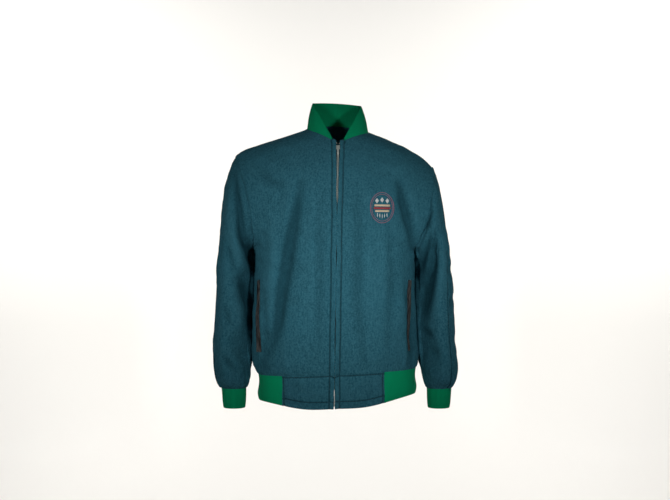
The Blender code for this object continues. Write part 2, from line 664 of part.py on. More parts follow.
def band_pieces(body):
    """Two wool tabs at the zip and one rib strip round the sides and the back."""
    pieces = {}
    waist = {side: waist_row(body["front_" + side], "panel") for side in SIDES}
    behind = {side: waist_row(body["back"], side) for side in SIDES}
    depths = [k / HEM_ROWS for k in range(HEM_ROWS + 1)]
    for side in SIDES:
        name = "hem_tab_" + side
        pieces[name] = Cloth(name, WOOL_WALL, "wool")
        tab = waist[side][:TAB_COLUMNS + 1]
        pieces[name].add("panel", np.array([[band_point(p, d) for p in tab] for d in depths]),
                         flip=side == "left")
    around = (waist["right"][TAB_COLUMNS:] + behind["right"][-2::-1]
              + behind["left"][1:] + waist["left"][-2:TAB_COLUMNS - 1:-1])
    pieces["hem_rib"] = Cloth("hem_rib", RIB_WALL, "rib")
    pieces["hem_rib"].add("strip", np.array([[band_point(p, d) for p in around] for d in depths]))
    return pieces


def waist_row(piece, grid_name):
    """Seam points of a piece's last row."""
    return [piece.points[k] for k in piece.grids[grid_name][-1]]


# ---------------------------------------------------------------- pieces made from a panel's points

def bar(name, sections, finish):
    """Closed bar through sections of four corners each."""
    mesh = bmesh.new()
    rings = [[mesh.verts.new(corner) for corner in section] for section in sections]
    for low, high in zip(rings, rings[1:]):
        for k in range(4):
            mesh.faces.new((low[k], low[(k + 1) % 4], high[(k + 1) % 4], high[k]))
    mesh.faces.new(rings[0][::-1])
    mesh.faces.new(rings[-1])
    bmesh.ops.recalc_face_normals(mesh, faces=mesh.faces)
    return finish_object(name, mesh, finish, smooth=False)


def section(middle, across, outward, width, thickness):
    """Four corners of a bar's section about its middle."""
    a, o = across * width / 2, outward * thickness / 2
    return [middle - a - o, middle + a - o, middle + a + o, middle - a + o]


def pocket_line(front, x):
    """Places on a front at one x, with the way across and outwards, row by row."""
    line = []
    for row in front.grids["panel"]:
        for first, second in zip(row, row[1:]):
            a, b = front.outer[first], front.outer[second]
            if (a[0] - x) * (b[0] - x) <= 0.0 < abs(b[0] - a[0]):
                share = (x - a[0]) / (b[0] - a[0])
                outward = front.rim[first] * (1.0 - share) + front.rim[second] * share
                line.append((a + (b - a) * share, unit(b - a), unit(outward)))
                break
    return line[::-1]


def build_pocket(front, side):
    """Two leather lips on a front, along an upright line."""
    line = pocket_line(front, POCKET_X[side])
    levels = [place[2] for place, _, _ in line]
    for lip, way in (("front", -1.0), ("side", 1.0)):
        sections = []
        for z in np.linspace(*POCKET_ENDS[side], POCKET_SECTIONS):
            mouth, across, outward = (np.array([np.interp(z, levels, [vectors[k][axis] for vectors in line])
                                                for axis in range(3)]) for k in range(3))
            across = unit(across)
            outward = unit(outward - across * np.dot(outward, across))
            middle = (mouth + across * way * (LIP_SLIT + LIP_WIDTH) / 2
                      + outward * (LAID_ON + LIP_WALL / 2))
            sections.append(section(middle, across, outward, LIP_WIDTH, LIP_WALL))
        bar("pocket_lip_" + lip + "_" + side, sections, "leather")


class ZipEdge:
    """The zip's line along one front: places on the tape's edge by height."""

    def __init__(self, front, tab):
        panel, low = front.grids["panel"], tab.grids["panel"]
        corner = len(ARMHOLE_ANGLES) - 1 - ARMHOLE_ANGLES.index(CORNER_ANGLE)
        lines = [(tab, low[r]) for r in range(len(low) - 1, 0, -1)]
        lines += [(front, panel[r]) for r in range(len(panel) - 1, corner - 1, -1)]
        self.place, self.across, self.outward = [], [], []
        for piece, row in lines:
            edge, beside = piece.inner[row[0]], piece.inner[row[1]]
            across = unit(beside - edge)
            outward = piece.rim[row[0]] + piece.rim[row[1]]
            outward = unit(outward - across * np.dot(outward, across))
            self.place.append(edge - outward * (LAID_ON + TAPE_WALL / 2))
            self.across.append(across)
            self.outward.append(outward)
        self.heights = np.array([p[2] for p in self.place])

    def at(self, z):
        """Place on the tape's middle under the cloth's edge, across and outward directions."""
        found = []
        for values in (self.place, self.across, self.outward):
            found.append(np.array([np.interp(z, self.heights, [v[k] for v in values]) for k in range(3)]))
        return found[0], unit(found[1]), unit(found[2])

    def levels(self, low, high):
        """The front's own row heights between two heights, with both ends."""
        return [low] + [z for z in self.heights if low + 0.002 < z < high - 0.002] + [high]


def build_zip(fronts, tabs):
    """Tapes, rows of teeth, pins, retaining box, slider, bail and pull."""
    edges = {side: ZipEdge(fronts[side], tabs[side]) for side in SIDES}
    top = min(edge.heights[-1] for edge in edges.values())
    bottom = max(edge.heights[0] for edge in edges.values())
    for side, edge in edges.items():
        sections = []
        for z in edge.levels(bottom + 0.001, top):
            place, across, outward = edge.at(z)
            middle = place + across * (TAPE_UNDER - TAPE_REACH) / 2
            sections.append(section(middle, across, outward, TAPE_REACH + TAPE_UNDER, TAPE_WALL))
        bar("zip_tape_" + side, sections, "tape")
        runs = (("zip_pin_", ZIP_BOX_Z[1] + SEAM_GAP, ZIP_PIN_TOP_Z - SEAM_GAP, *ZIP_PIN_SIZE),
                ("zip_teeth_", ZIP_PIN_TOP_Z, SLIDER_Z[0] - SLIDER_CLEAR, CHAIN_HALF, CHAIN_THICK),
                ("zip_teeth_open_", SLIDER_Z[1] + SLIDER_CLEAR, top - 0.002, CHAIN_HALF, CHAIN_THICK))
        for name, low, high, width, thick in runs:
            sections = []
            for z in edge.levels(low, high):
                place, across, outward = edge.at(z)
                if z < SLIDER_Z[0]:
                    meeting = zip_middle(edges, z)
                    across = unit(place - meeting)
                    middle = meeting + across * (ZIP_CENTRE_GAP + width / 2)
                else:
                    middle = place - across * (FRONT_UPPER[0].x - ZIP_CENTRE_GAP - width / 2)
                sections.append(section(middle, across, outward, width, thick))
            bar(name + side, sections, "zip_metal")
    build_zip_box(edges)
    build_slider(edges)


def zip_middle(edges, z):
    """Point of the zip's middle line at a height."""
    return sum(edges[side].at(z)[0] for side in SIDES) / 2


def zip_frame(edges, z):
    """Matrix at the middle of the zip at a height: X across, -Y outwards, Z up along the teeth."""
    place = zip_middle(edges, z)
    upward = unit(zip_middle(edges, z + 0.004) - zip_middle(edges, z - 0.004))
    across = np.array((1.0, 0.0, 0.0))
    upward = unit(upward - across * np.dot(upward, across))
    inward = np.cross(upward, across)
    frame = Matrix([(*row, 0.0) for row in np.column_stack((across, inward, upward))] + [(0, 0, 0, 1)])
    return Matrix.Translation(Vector(place)) @ frame


def build_zip_box(edges):
    """Retaining box at the bottom of the zip."""
    mesh = bmesh.new()
    made = bmesh.ops.create_cube(mesh, size=1.0)["verts"]
    bmesh.ops.scale(mesh, vec=(*ZIP_BOX_SIZE, ZIP_BOX_Z[1] - ZIP_BOX_Z[0]), verts=made)
    bmesh.ops.bevel(mesh, geom=mesh.edges[:], offset=ZIP_BOX_BEVEL, segments=1, profile=0.5, affect="EDGES")
    mesh.transform(zip_frame(edges, sum(ZIP_BOX_Z) / 2))
    return finish_object("zip_box", mesh, "zip_metal", smooth=False)


def build_slider(edges):
    """Slider of two plates on a core, the bail on its face and the pull that hangs from the bail."""
    height = SLIDER_Z[1] - SLIDER_Z[0]
    frame = zip_frame(edges, sum(SLIDER_Z) / 2)
    wide, neck = SLIDER_HALF_WIDTH, SLIDER_NECK
    face, core = SLIDER_CORE + SLIDER_PLATE, SLIDER_CORE
    outline = ((-wide, -face), (wide, -face), (wide, -core), (neck, -core), (neck, core), (wide, core),
               (wide, face), (-wide, face), (-wide, core), (-neck, core), (-neck, -core), (-wide, -core))
    mesh = bmesh.new()
    profile = mesh.faces.new([mesh.verts.new((x, y, -height / 2)) for x, y in outline])
    grown = bmesh.ops.extrude_face_region(mesh, geom=[profile])["geom"]
    bmesh.ops.translate(mesh, vec=(0, 0, height), verts=[v for v in grown if isinstance(v, bmesh.types.BMVert)])
    bmesh.ops.recalc_face_normals(mesh, faces=mesh.faces)
    mesh.transform(frame)
    finish_object("zip_slider", mesh, "zip_metal", smooth=False)

    wire = bpy.data.curves.new("zip_bail", "CURVE")
    wire.dimensions, wire.bevel_depth, wire.bevel_resolution = "3D", BAIL_WIRE, 2
    wire.use_fill_caps = True
    line = wire.splines.new("POLY")
    foot = -face - SEAM_GAP
    arch = [(0, foot, BAIL_HALF)]
    arch += [(0, -face - BAIL_RISE + (BAIL_RISE - BAIL_FOOT_RISE) * (abs(math.cos(a)) ** 3), BAIL_HALF * math.cos(a))
             for a in [math.pi * k / 8 for k in range(9)]]
    arch += [(0, foot, -BAIL_HALF)]
    line.points.add(len(arch) - 1)
    for point, place in zip(line.points, arch):
        point.co = (*(frame @ Vector(place)), 1.0)
    place_object(bpy.data.objects.new("zip_bail", wire), "zip_metal")

    pivot = frame @ Vector((0, -face - PULL_PIVOT_RISE, -PULL_PIVOT_DROP))
    build_pull(Matrix.Translation(pivot) @ frame.to_3x3().to_4x4())


def build_pull(frame):
    """Pull tab about its pivot: an eye round the bail above a plate with a round end."""
    mesh = bmesh.new()
    rounds = 20
    outline, eye = [], []
    middle, reach = (PULL_EYE_LOW - PULL_BAR_HALF) / 2, (-PULL_EYE_LOW - PULL_BAR_HALF) / 2
    for k in range(rounds):
        a = 2 * math.pi * (k + 0.5) / rounds
        x, z = math.sin(a), math.cos(a)
        square = max(abs(x), abs(z))
        height = PULL_BAR_HALF if z > 0 else PULL_LENGTH - PULL_BAR_HALF
        outline.append((PULL_HALF_WIDTH * x / square ** 0.6, height * z / square ** 0.6))
        eye.append((PULL_EYE_HALF * x / square ** 0.8, middle + reach * z / square ** 0.8))
    outer = [mesh.verts.new((x, 0, z)) for x, z in outline]
    inner = [mesh.verts.new((x, 0, z)) for x, z in eye]
    for k in range(rounds):
        n = (k + 1) % rounds
        mesh.faces.new((outer[k], outer[n], inner[n], inner[k]))
    pull = finish_object("zip_pull", mesh, "zip_metal", smooth=False)
    pull.matrix_world = frame
    wall = pull.modifiers.new("wall", "SOLIDIFY")
    wall.thickness = PULL_WALL
    wall.offset = 0.0
    return pull


# ---------------------------------------------------------------- the jacket

def main():
    """Clear the scene and build every piece of the jacket."""
    for thing in list(bpy.data.objects):
        bpy.data.objects.remove(thing, do_unlink=True)
    bpy.context.scene.collection.children.link(bpy.data.collections.new("bomber_jacket"))
    body = body_pieces()
    pieces = dict(body)
    pieces.update(sleeve_pieces())
    pieces.update(band_pieces(body))
    pieces["collar"] = collar_piece()
    sew(list(pieces.values()), armhole_outwards())
    for piece in pieces.values():
        piece.build()
    for side in SIDES:
        build_pocket(pieces["front_" + side], side)
    build_zip({side: pieces["front_" + side] for side in SIDES},
              {side: pieces["hem_tab_" + side] for side in SIDES})


main()
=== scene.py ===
"""Looks of a worn wool bomber jacket: cloth shells with folds, rib knit, zip, pockets, stitching and badge.

Metres, +Z up, the front faces -Y, the wearer's right side at -X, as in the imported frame.
Every cloth solid is replaced by a finer shell on the same form. Folds, gathers and sewn edges are pressed
into both skins of the shell together, so that its wall keeps its thickness.
"""

from __future__ import annotations

import logging
import math
from dataclasses import dataclass
from enum import Enum
from typing import NamedTuple, Optional, Sequence, Union

import bmesh
import bpy
import numpy as np
from mathutils import Matrix, Vector
from mathutils.bvhtree import BVHTree
from mathutils.kdtree import KDTree

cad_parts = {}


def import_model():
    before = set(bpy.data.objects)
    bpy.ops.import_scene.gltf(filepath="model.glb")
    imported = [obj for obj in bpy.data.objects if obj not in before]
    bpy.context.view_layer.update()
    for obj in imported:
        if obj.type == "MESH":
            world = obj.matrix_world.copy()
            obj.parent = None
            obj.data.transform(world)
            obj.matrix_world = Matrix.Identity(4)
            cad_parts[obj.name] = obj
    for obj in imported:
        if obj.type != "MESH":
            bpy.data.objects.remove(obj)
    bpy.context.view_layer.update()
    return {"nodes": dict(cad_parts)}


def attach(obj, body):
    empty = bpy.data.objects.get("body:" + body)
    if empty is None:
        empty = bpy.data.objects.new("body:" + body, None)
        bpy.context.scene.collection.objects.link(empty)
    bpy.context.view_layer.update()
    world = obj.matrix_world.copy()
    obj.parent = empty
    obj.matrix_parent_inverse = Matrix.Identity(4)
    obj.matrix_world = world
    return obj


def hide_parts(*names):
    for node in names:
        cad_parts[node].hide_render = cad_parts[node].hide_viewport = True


Colour = tuple[float, float, float]
Value = Union[float, Sequence[float], "Socket"]
log = logging.getLogger("jacket")

MM = 0.001
MERGE = 1e-6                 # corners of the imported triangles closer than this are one
RIM_ANGLE = math.radians(40)
SEAM_CREASE = 0.45           # keeps a seam's line while its edge turns over softly
NEAR_SEAM = 3.2 * MM         # border points this close to another piece are sewn to it
SEAM_OVERLAP = 0.15 * MM     # sewn borders run this far past each other
SEAM_REACH = 0.012           # closing a seam moves the cloth this far from it
TUCK_NEAR = 11.0 * MM        # a sleeve's armhole edge this close to the body's cloth is laid on it
TUCK_CLEAR = 0.3 * MM         # it lies this far off that cloth
TUCK_LOW = -0.275            # the armholes end at this height
TUCK_REACH = 0.024           # laying it down moves the cloth this far from it
FINE_LEVELS = 3
FAR = 9.0                    # farther than any two places on the jacket
ARM_TOP = -0.15              # height where an arm's axis starts to lean
ARM_LENGTH = 0.50            # height over which it leans
ARM_AT = (0.232, 0.012)      # the axis at the top, out from the middle and back
ARM_LEAN = (0.022, -0.034)   # how far it leans out and back over that height
NECK_LOW = -0.034            # the fronts' free edges are upright below this height
TABS_TOP = -0.600            # height of the tops of the hem tabs


class Side(Enum):
    """The wearer's sides, each with the sign of its x."""

    RIGHT = -1.0
    LEFT = 1.0

    @property
    def word(self) -> str:
        """Lower-case name, as in node names."""
        return self.name.lower()


class Skin(Enum):
    """Which part of a cloth wall a face belongs to."""

    OUTER = 0
    INNER = 1
    RIM = 2


class Line(Enum):
    """Surface attributes that hold how far a point is from a sewn line's border."""

    EDGE = "from_edge"
    WAIST = "from_waist"
    SIDE = "from_side"
    HEM = "from_hem"
    TOP = "from_top"


# ---------------------------------------------------------------- shader graphs

class Socket:
    """One output of a shader node; arithmetic on it adds Math nodes."""

    def __init__(self, graph: "Graph", output: bpy.types.NodeSocket) -> None:
        """Hold an output.

        Args:
            graph: graph that the node is in.
            output: the node's output.
        """
        self.graph, self.output = graph, output

    def math(self, operation: str, *values: Value) -> "Socket":
        """Add a Math node.

        Args:
            operation: name of the operation.
            values: its inputs in order.

        Returns:
            The node's result.
        """
        return self.graph.add("ShaderNodeMath", {"operation": operation}, dict(enumerate(values)))

    def __add__(self, other: Value) -> "Socket":
        """Sum."""
        return self.math("ADD", self, other)

    __radd__ = __add__

    def __sub__(self, other: Value) -> "Socket":
        """Difference."""
        return self.math("SUBTRACT", self, other)

    def __rsub__(self, other: Value) -> "Socket":
        """Difference from a number."""
        return self.math("SUBTRACT", other, self)

    def __mul__(self, other: Value) -> "Socket":
        """Product."""
        return self.math("MULTIPLY", self, other)

    def __truediv__(self, other: Value) -> "Socket":
        """Quotient."""
        return self.math("DIVIDE", self, other)

    def __pow__(self, other: Value) -> "Socket":
        """Power."""
        return self.math("POWER", self, other)

    def sine(self) -> "Socket":
        """Sine of radians."""
        return self.math("SINE", self)

    def at_least(self, low: Value) -> "Socket":
        """The larger of this and another value."""
        return self.math("MAXIMUM", self, low)

    def at_most(self, high: Value) -> "Socket":
        """The smaller of this and another value."""
        return self.math("MINIMUM", self, high)


class Graph:
    """Node tree of one material, which ends in a principled shader."""

    def __init__(self, name: str, constants: dict[str, Value]) -> None:
        """Start a material.

        Args:
            name: material name.
            constants: values that are the same all over, set on the shader's own sockets.
        """
        self.material = bpy.data.materials.new(name)
        self.material.use_nodes = True
        self.tree = self.material.node_tree
        self.shader = self.tree.nodes["Principled BSDF"]
        for socket, value in constants.items():
            self.plug(self.shader.inputs[socket], value)

    def plug(self, entry: bpy.types.NodeSocket, value: Value) -> None:
        """Set a socket to a number or a colour, or link it.

        Args:
            entry: the input socket.
            value: what goes into it.
        """
        if isinstance(value, Socket):
            self.tree.links.new(value.output, entry)
        elif isinstance(value, (tuple, list)) and len(value) == 3 and entry.type == "RGBA":
            entry.default_value = (*value, 1.0)
        else:
            entry.default_value = value

    def add(self, kind: str, settings: Optional[dict[str, object]] = None,
            sockets: Optional[dict[Union[int, str], Value]] = None, output: Union[int, str] = 0) -> Socket:
        """Add any node.

        Args:
            kind: the node's type.
            settings: its properties.
            sockets: values or links of its inputs, by name or number.
            output: the output to return.

        Returns:
            That output.
        """
        node = self.tree.nodes.new(kind)
        for name, setting in (settings or {}).items():
            setattr(node, name, setting)
        for entry, value in (sockets or {}).items():
            self.plug(node.inputs[entry], value)
        return Socket(self, node.outputs[output])

    def place(self) -> Socket:
        """Object coordinates, in metres."""
        return self.add("ShaderNodeTexCoord", output="Object")

    def noise(self, scale: float, detail: float = 2.0, stretch: Sequence[float] = (1.0, 1.0, 1.0)) -> Socket:
        """Noise on object coordinates.

        Args:
            scale: repeats in a metre.
            detail: octaves.
            stretch: factor on each axis, below 1 for longer marks.

        Returns:
            Values about 0.5.
        """
        placed = self.add("ShaderNodeMapping", {}, {"Vector": self.place(), "Scale": tuple(stretch)})
        return self.add("ShaderNodeTexNoise", {}, {"Vector": placed, "Scale": scale, "Detail": detail})

    def attribute(self, name: str) -> Socket:
        """A number kept on the mesh's points."""
        return self.add("ShaderNodeAttribute", {"attribute_name": name}, output="Fac")

    def blend(self, share: Value, first: Value, second: Value) -> Socket:
        """Mix two colours.

        Args:
            share: 0 for the first, 1 for the second.
            first: colour or link.
            second: colour or link.

        Returns:
            The mixed colour.
        """
        return self.add("ShaderNodeMix", {"data_type": "RGBA", "blend_type": "MIX"},
                        {0: share, 6: first, 7: second}, 2)

    def relief(self, height: Value, strength: float = 1.0) -> Socket:
        """Normal of a relief.

        Args:
            height: height in metres.
            strength: share of the effect.

        Returns:
            The bent normal.
        """
        return self.add("ShaderNodeBump", {}, {"Height": height, "Distance": 1.0, "Strength": strength})

    def finish(self, **links: Value) -> bpy.types.Material:
        """Plug the varying values into the shader.

        Args:
            links: values by the shader's socket names, with _ for a space.

        Returns:
            The material.
        """
        for socket, value in links.items():
            self.plug(self.shader.inputs[socket.replace("_", " ")], value)
        return self.material


# ---------------------------------------------------------------- finishes

@dataclass(frozen=True)
class Wool:
    """Milled wool: short matted fibres, a faint upright grain and grooves along the sewn lines, with painted
    shade in the grooves and the fold troughs and painted light on the fold ridges.
    """

    name: str = "wool_cloth"
    colour: Colour = (0.0195, 0.0930, 0.1290)
    dark_and_shade: Colour = (0.0090, 0.0520, 0.0740)
    fibre_and_ridge_light: Colour = (0.0420, 0.1560, 0.2050)
    fibre_pitch: float = 1.1 * MM
    fleck_pitch: float = 4.2 * MM
    groove_depth: float = 0.45 * MM
    groove_half: float = 2.3 * MM
    # press depth at which the painted shade in a fold trough is full
    painted_fold_shade_depth: float = 5.5 * MM

    def groove(self, graph: Graph, line: Line, inset: float) -> Socket:
        """A pressed-in line beside a border.

        Args:
            graph: the material's graph.
            line: attribute with the distance from the border.
            inset: distance of the line from the border.

        Returns:
            1 on the line, 0 away from it.
        """
        away = (graph.attribute(line.value) - inset) / self.groove_half
        return (1.0 - away * away).at_least(0.0)

    def build(self) -> bpy.types.Material:
        """Make the material."""
        graph = Graph(self.name, {"Metallic": 0.0, "Sheen Weight": 0.03, "Sheen Roughness": 0.5,
                                  "Sheen Tint": (0.20, 0.62, 0.74), "Specular IOR Level": 0.02})
        fibres = graph.noise(1.0 / self.fibre_pitch, 3.0)
        flecks = graph.noise(1.0 / self.fleck_pitch, 3.0)
        grain = graph.noise(1.0 / (3.0 * MM), 2.0, (1.0, 1.0, 0.18))
        worn = graph.noise(11.0, 2.0)
        mottle = (fibres * 0.30 + flecks * 0.42 + grain * 0.28 - 0.5) * 4.2 + 0.5
        grooves = self.groove(graph, Line.EDGE, STITCH_INSET[Line.EDGE])
        for line in (Line.WAIST, Line.SIDE, Line.HEM, Line.TOP):
            grooves = grooves.at_least(self.groove(graph, line, STITCH_INSET[line]))
        base = graph.blend(mottle.at_least(0.0).at_most(1.0), self.dark_and_shade, self.fibre_and_ridge_light)
        base = graph.blend(0.35, base, self.colour)
        base = graph.blend((worn - 0.45) * 0.9, base, tuple(1.22 * c for c in self.colour))
        # painted shade and painted light: the colour darkens where the cloth is pressed into a fold trough
        # and lightens where it stands out on a ridge
        pressed = graph.attribute(PRESSED) / self.painted_fold_shade_depth
        painted_trough_shade = (pressed * -1.0).at_least(0.0).at_most(1.0)
        base = graph.blend(painted_trough_shade * 0.62, base, tuple(0.55 * c for c in self.dark_and_shade))
        base = graph.blend(pressed.at_least(0.0).at_most(1.0) * 0.26, base, self.fibre_and_ridge_light)
        # painted shade: the colour is darkened along the stitch grooves
        base = graph.blend(grooves * 0.70, base, tuple(0.40 * c for c in self.dark_and_shade))
        nap = fibres * (0.16 * MM) + flecks * (0.20 * MM) + grain * (0.10 * MM)
        height = nap - grooves * self.groove_depth
        return graph.finish(Base_Color=base, Roughness=0.86 + fibres * 0.14, Normal=graph.relief(height, 0.9))


@dataclass(frozen=True)
class Rib:
    """Rib knit: rounded wales and small loops along each wale, with painted shade in the furrows between the
    wales.
    """

    name: str = "rib_knit"
    colour: Colour = (0.0038, 0.3800, 0.1650)
    furrow: Colour = (0.0013, 0.1300, 0.0580)
    pitch: float = 3.1 * MM
    loop: float = 1.5 * MM
    depth: float = 0.75 * MM

    def build(self) -> bpy.types.Material:
        """Make the material."""
        graph = Graph(self.name, {"Metallic": 0.0, "Sheen Weight": 0.03, "Sheen Roughness": 0.5,
                                  "Sheen Tint": (0.10, 0.8, 0.45), "Specular IOR Level": 0.02})
        along = graph.add("ShaderNodeUVMap", {"uv_map": "along"})
        across = graph.add("ShaderNodeSeparateXYZ", {}, {0: along}, 0)
        upward = graph.add("ShaderNodeSeparateXYZ", {}, {0: along}, 1)
        stray = (graph.noise(60.0, 2.0) - 0.5) * 1.4
        phase = across * (math.tau / self.pitch) + stray
        wale = (phase.sine() * 0.5 + 0.5) ** 0.6
        lean = phase.math("COSINE", phase) * 0.9
        loops = ((upward * (math.tau / self.loop) + lean).sine() * 0.5 + 0.5) * wale
        fuzz = graph.noise(1400.0, 2.0)
        # painted shade and painted light: the tone follows the knit's relief, darkest in the furrows between
        # the wales and lighter on the tops of the wales and loops
        tone = wale * 0.72 + loops * 0.18 + (fuzz - 0.5) * 0.5 + 0.10
        base = graph.blend(tone.at_least(0.0).at_most(1.0), self.furrow, self.colour)
        height = wale * self.depth + loops * (0.20 * MM) + fuzz * (0.12 * MM)
        return graph.finish(Base_Color=base, Roughness=0.80 + fuzz * 0.15, Normal=graph.relief(height))


@dataclass(frozen=True)
class Leather:
    """Dark piping leather with a fine grain and grey patches at random, partly wear and partly painted
    highlight.
    """

    name: str = "piping_leather"
    colour: Colour = (0.010, 0.008, 0.008)
    wear_and_highlight_grey: Colour = (0.085, 0.085, 0.080)

    def build(self) -> bpy.types.Material:
        """Make the material."""
        graph = Graph(self.name, {"Metallic": 0.0, "Specular IOR Level": 0.5})
        grain = graph.add("ShaderNodeTexVoronoi", {}, {"Vector": graph.place(), "Scale": 1100.0})
        random_patches = graph.noise(140.0, 3.0, (1.0, 1.0, 0.4))
        # painted highlight: the random grey patches stand in for the grey highlights on the lips, as well as
        # for wear
        base = graph.blend(((random_patches - 0.42) * 3.0).at_least(0.0).at_most(0.8), self.colour, self.wear_and_highlight_grey)
        return graph.finish(Base_Color=base, Roughness=0.34 + random_patches * 0.30,
                            Normal=graph.relief(grain * (-0.12 * MM)))


@dataclass(frozen=True)
class Tape:
    """Woven zip tape: a tight herringbone of dark threads."""

    name: str = "zip_tape_weave"
    colour: Colour = (0.014, 0.050, 0.056)
    dark: Colour = (0.006, 0.022, 0.026)
    pitch: float = 1.1 * MM

    def build(self) -> bpy.types.Material:
        """Make the material."""
        graph = Graph(self.name, {"Metallic": 0.0, "Specular IOR Level": 0.3})
        across = graph.add("ShaderNodeSeparateXYZ", {}, {0: graph.place()}, 0)
        upward = graph.add("ShaderNodeSeparateXYZ", {}, {0: graph.place()}, 2)
        zigzag = (across * (math.tau / (4.0 * self.pitch))).sine() * 2.2
        weave = (upward * (math.tau / self.pitch) + zigzag).sine() * 0.5 + 0.5
        base = graph.blend(weave, self.dark, self.colour)
        return graph.finish(Base_Color=base, Roughness=0.9 - weave * 0.15,
                            Normal=graph.relief(weave * (0.12 * MM)))


@dataclass(frozen=True)
class Metal:
    """Plated zip metal, brighter and duller in random patches, with fine scratches."""

    name: str = "zip_nickel"
    colour: Colour = (0.80, 0.83, 0.77)
    dull: Colour = (0.46, 0.50, 0.46)
    roughness: float = 0.42

    def build(self) -> bpy.types.Material:
        """Make the material."""
        graph = Graph(self.name, {"Metallic": 1.0})
        random_patches = graph.noise(420.0, 3.0)
        scratches = graph.noise(2200.0, 1.0, (1.0, 1.0, 0.15))
        base = graph.blend(random_patches, self.dull, self.colour)
        return graph.finish(Base_Color=base, Roughness=self.roughness + random_patches * 0.22,
                            Normal=graph.relief(scratches * (0.02 * MM)))


@dataclass(frozen=True)
class Thread:
    """Twisted sewing or embroidery thread."""

    name: str
    colour: Colour
    pitch: float = 0.45 * MM
    lie: tuple[float, float, float] = (1.0, 0.0, 0.35)

    def build(self) -> bpy.types.Material:
        """Make the material."""
        graph = Graph(self.name, {"Metallic": 0.0, "Specular IOR Level": 0.45, "Sheen Weight": 0.15})
        run = graph.add("ShaderNodeVectorMath", {"operation": "DOT_PRODUCT"},
                        {0: graph.place(), 1: self.lie}, "Value")
        strands = (run * (math.tau / self.pitch)).sine() * 0.5 + 0.5
        base = graph.blend(strands, tuple(0.62 * c for c in self.colour), self.colour)
        return graph.finish(Base_Color=base, Roughness=0.62 - strands * 0.12,
                            Normal=graph.relief(strands * (0.08 * MM)))


@dataclass(frozen=True)
class Pale:
    """Matt pale surface of the studio."""

    name: str = "studio_paper"
    colour: Colour = (0.93, 0.91, 0.87)

    def build(self) -> bpy.types.Material:
        """Make the material."""
        graph = Graph(self.name, {"Metallic": 0.0, "Specular IOR Level": 0.1})
        mottle = graph.noise(3.0, 2.0)
        base = graph.blend(mottle * 0.2, self.colour, tuple(0.98 * c for c in self.colour))
        return graph.finish(Base_Color=base, Roughness=0.9 + mottle * 0.05)


# ---------------------------------------------------------------- tables of folds, gathers and sewn lines

class Fold(NamedTuple):
    """A soft trough along a path, with a ridge beside it; a negative depth is a ridge alone."""

    on: str
    depth: float
    width: float
    ridge: float
    ridge_offset: float
    path: tuple[tuple[float, float], ...]


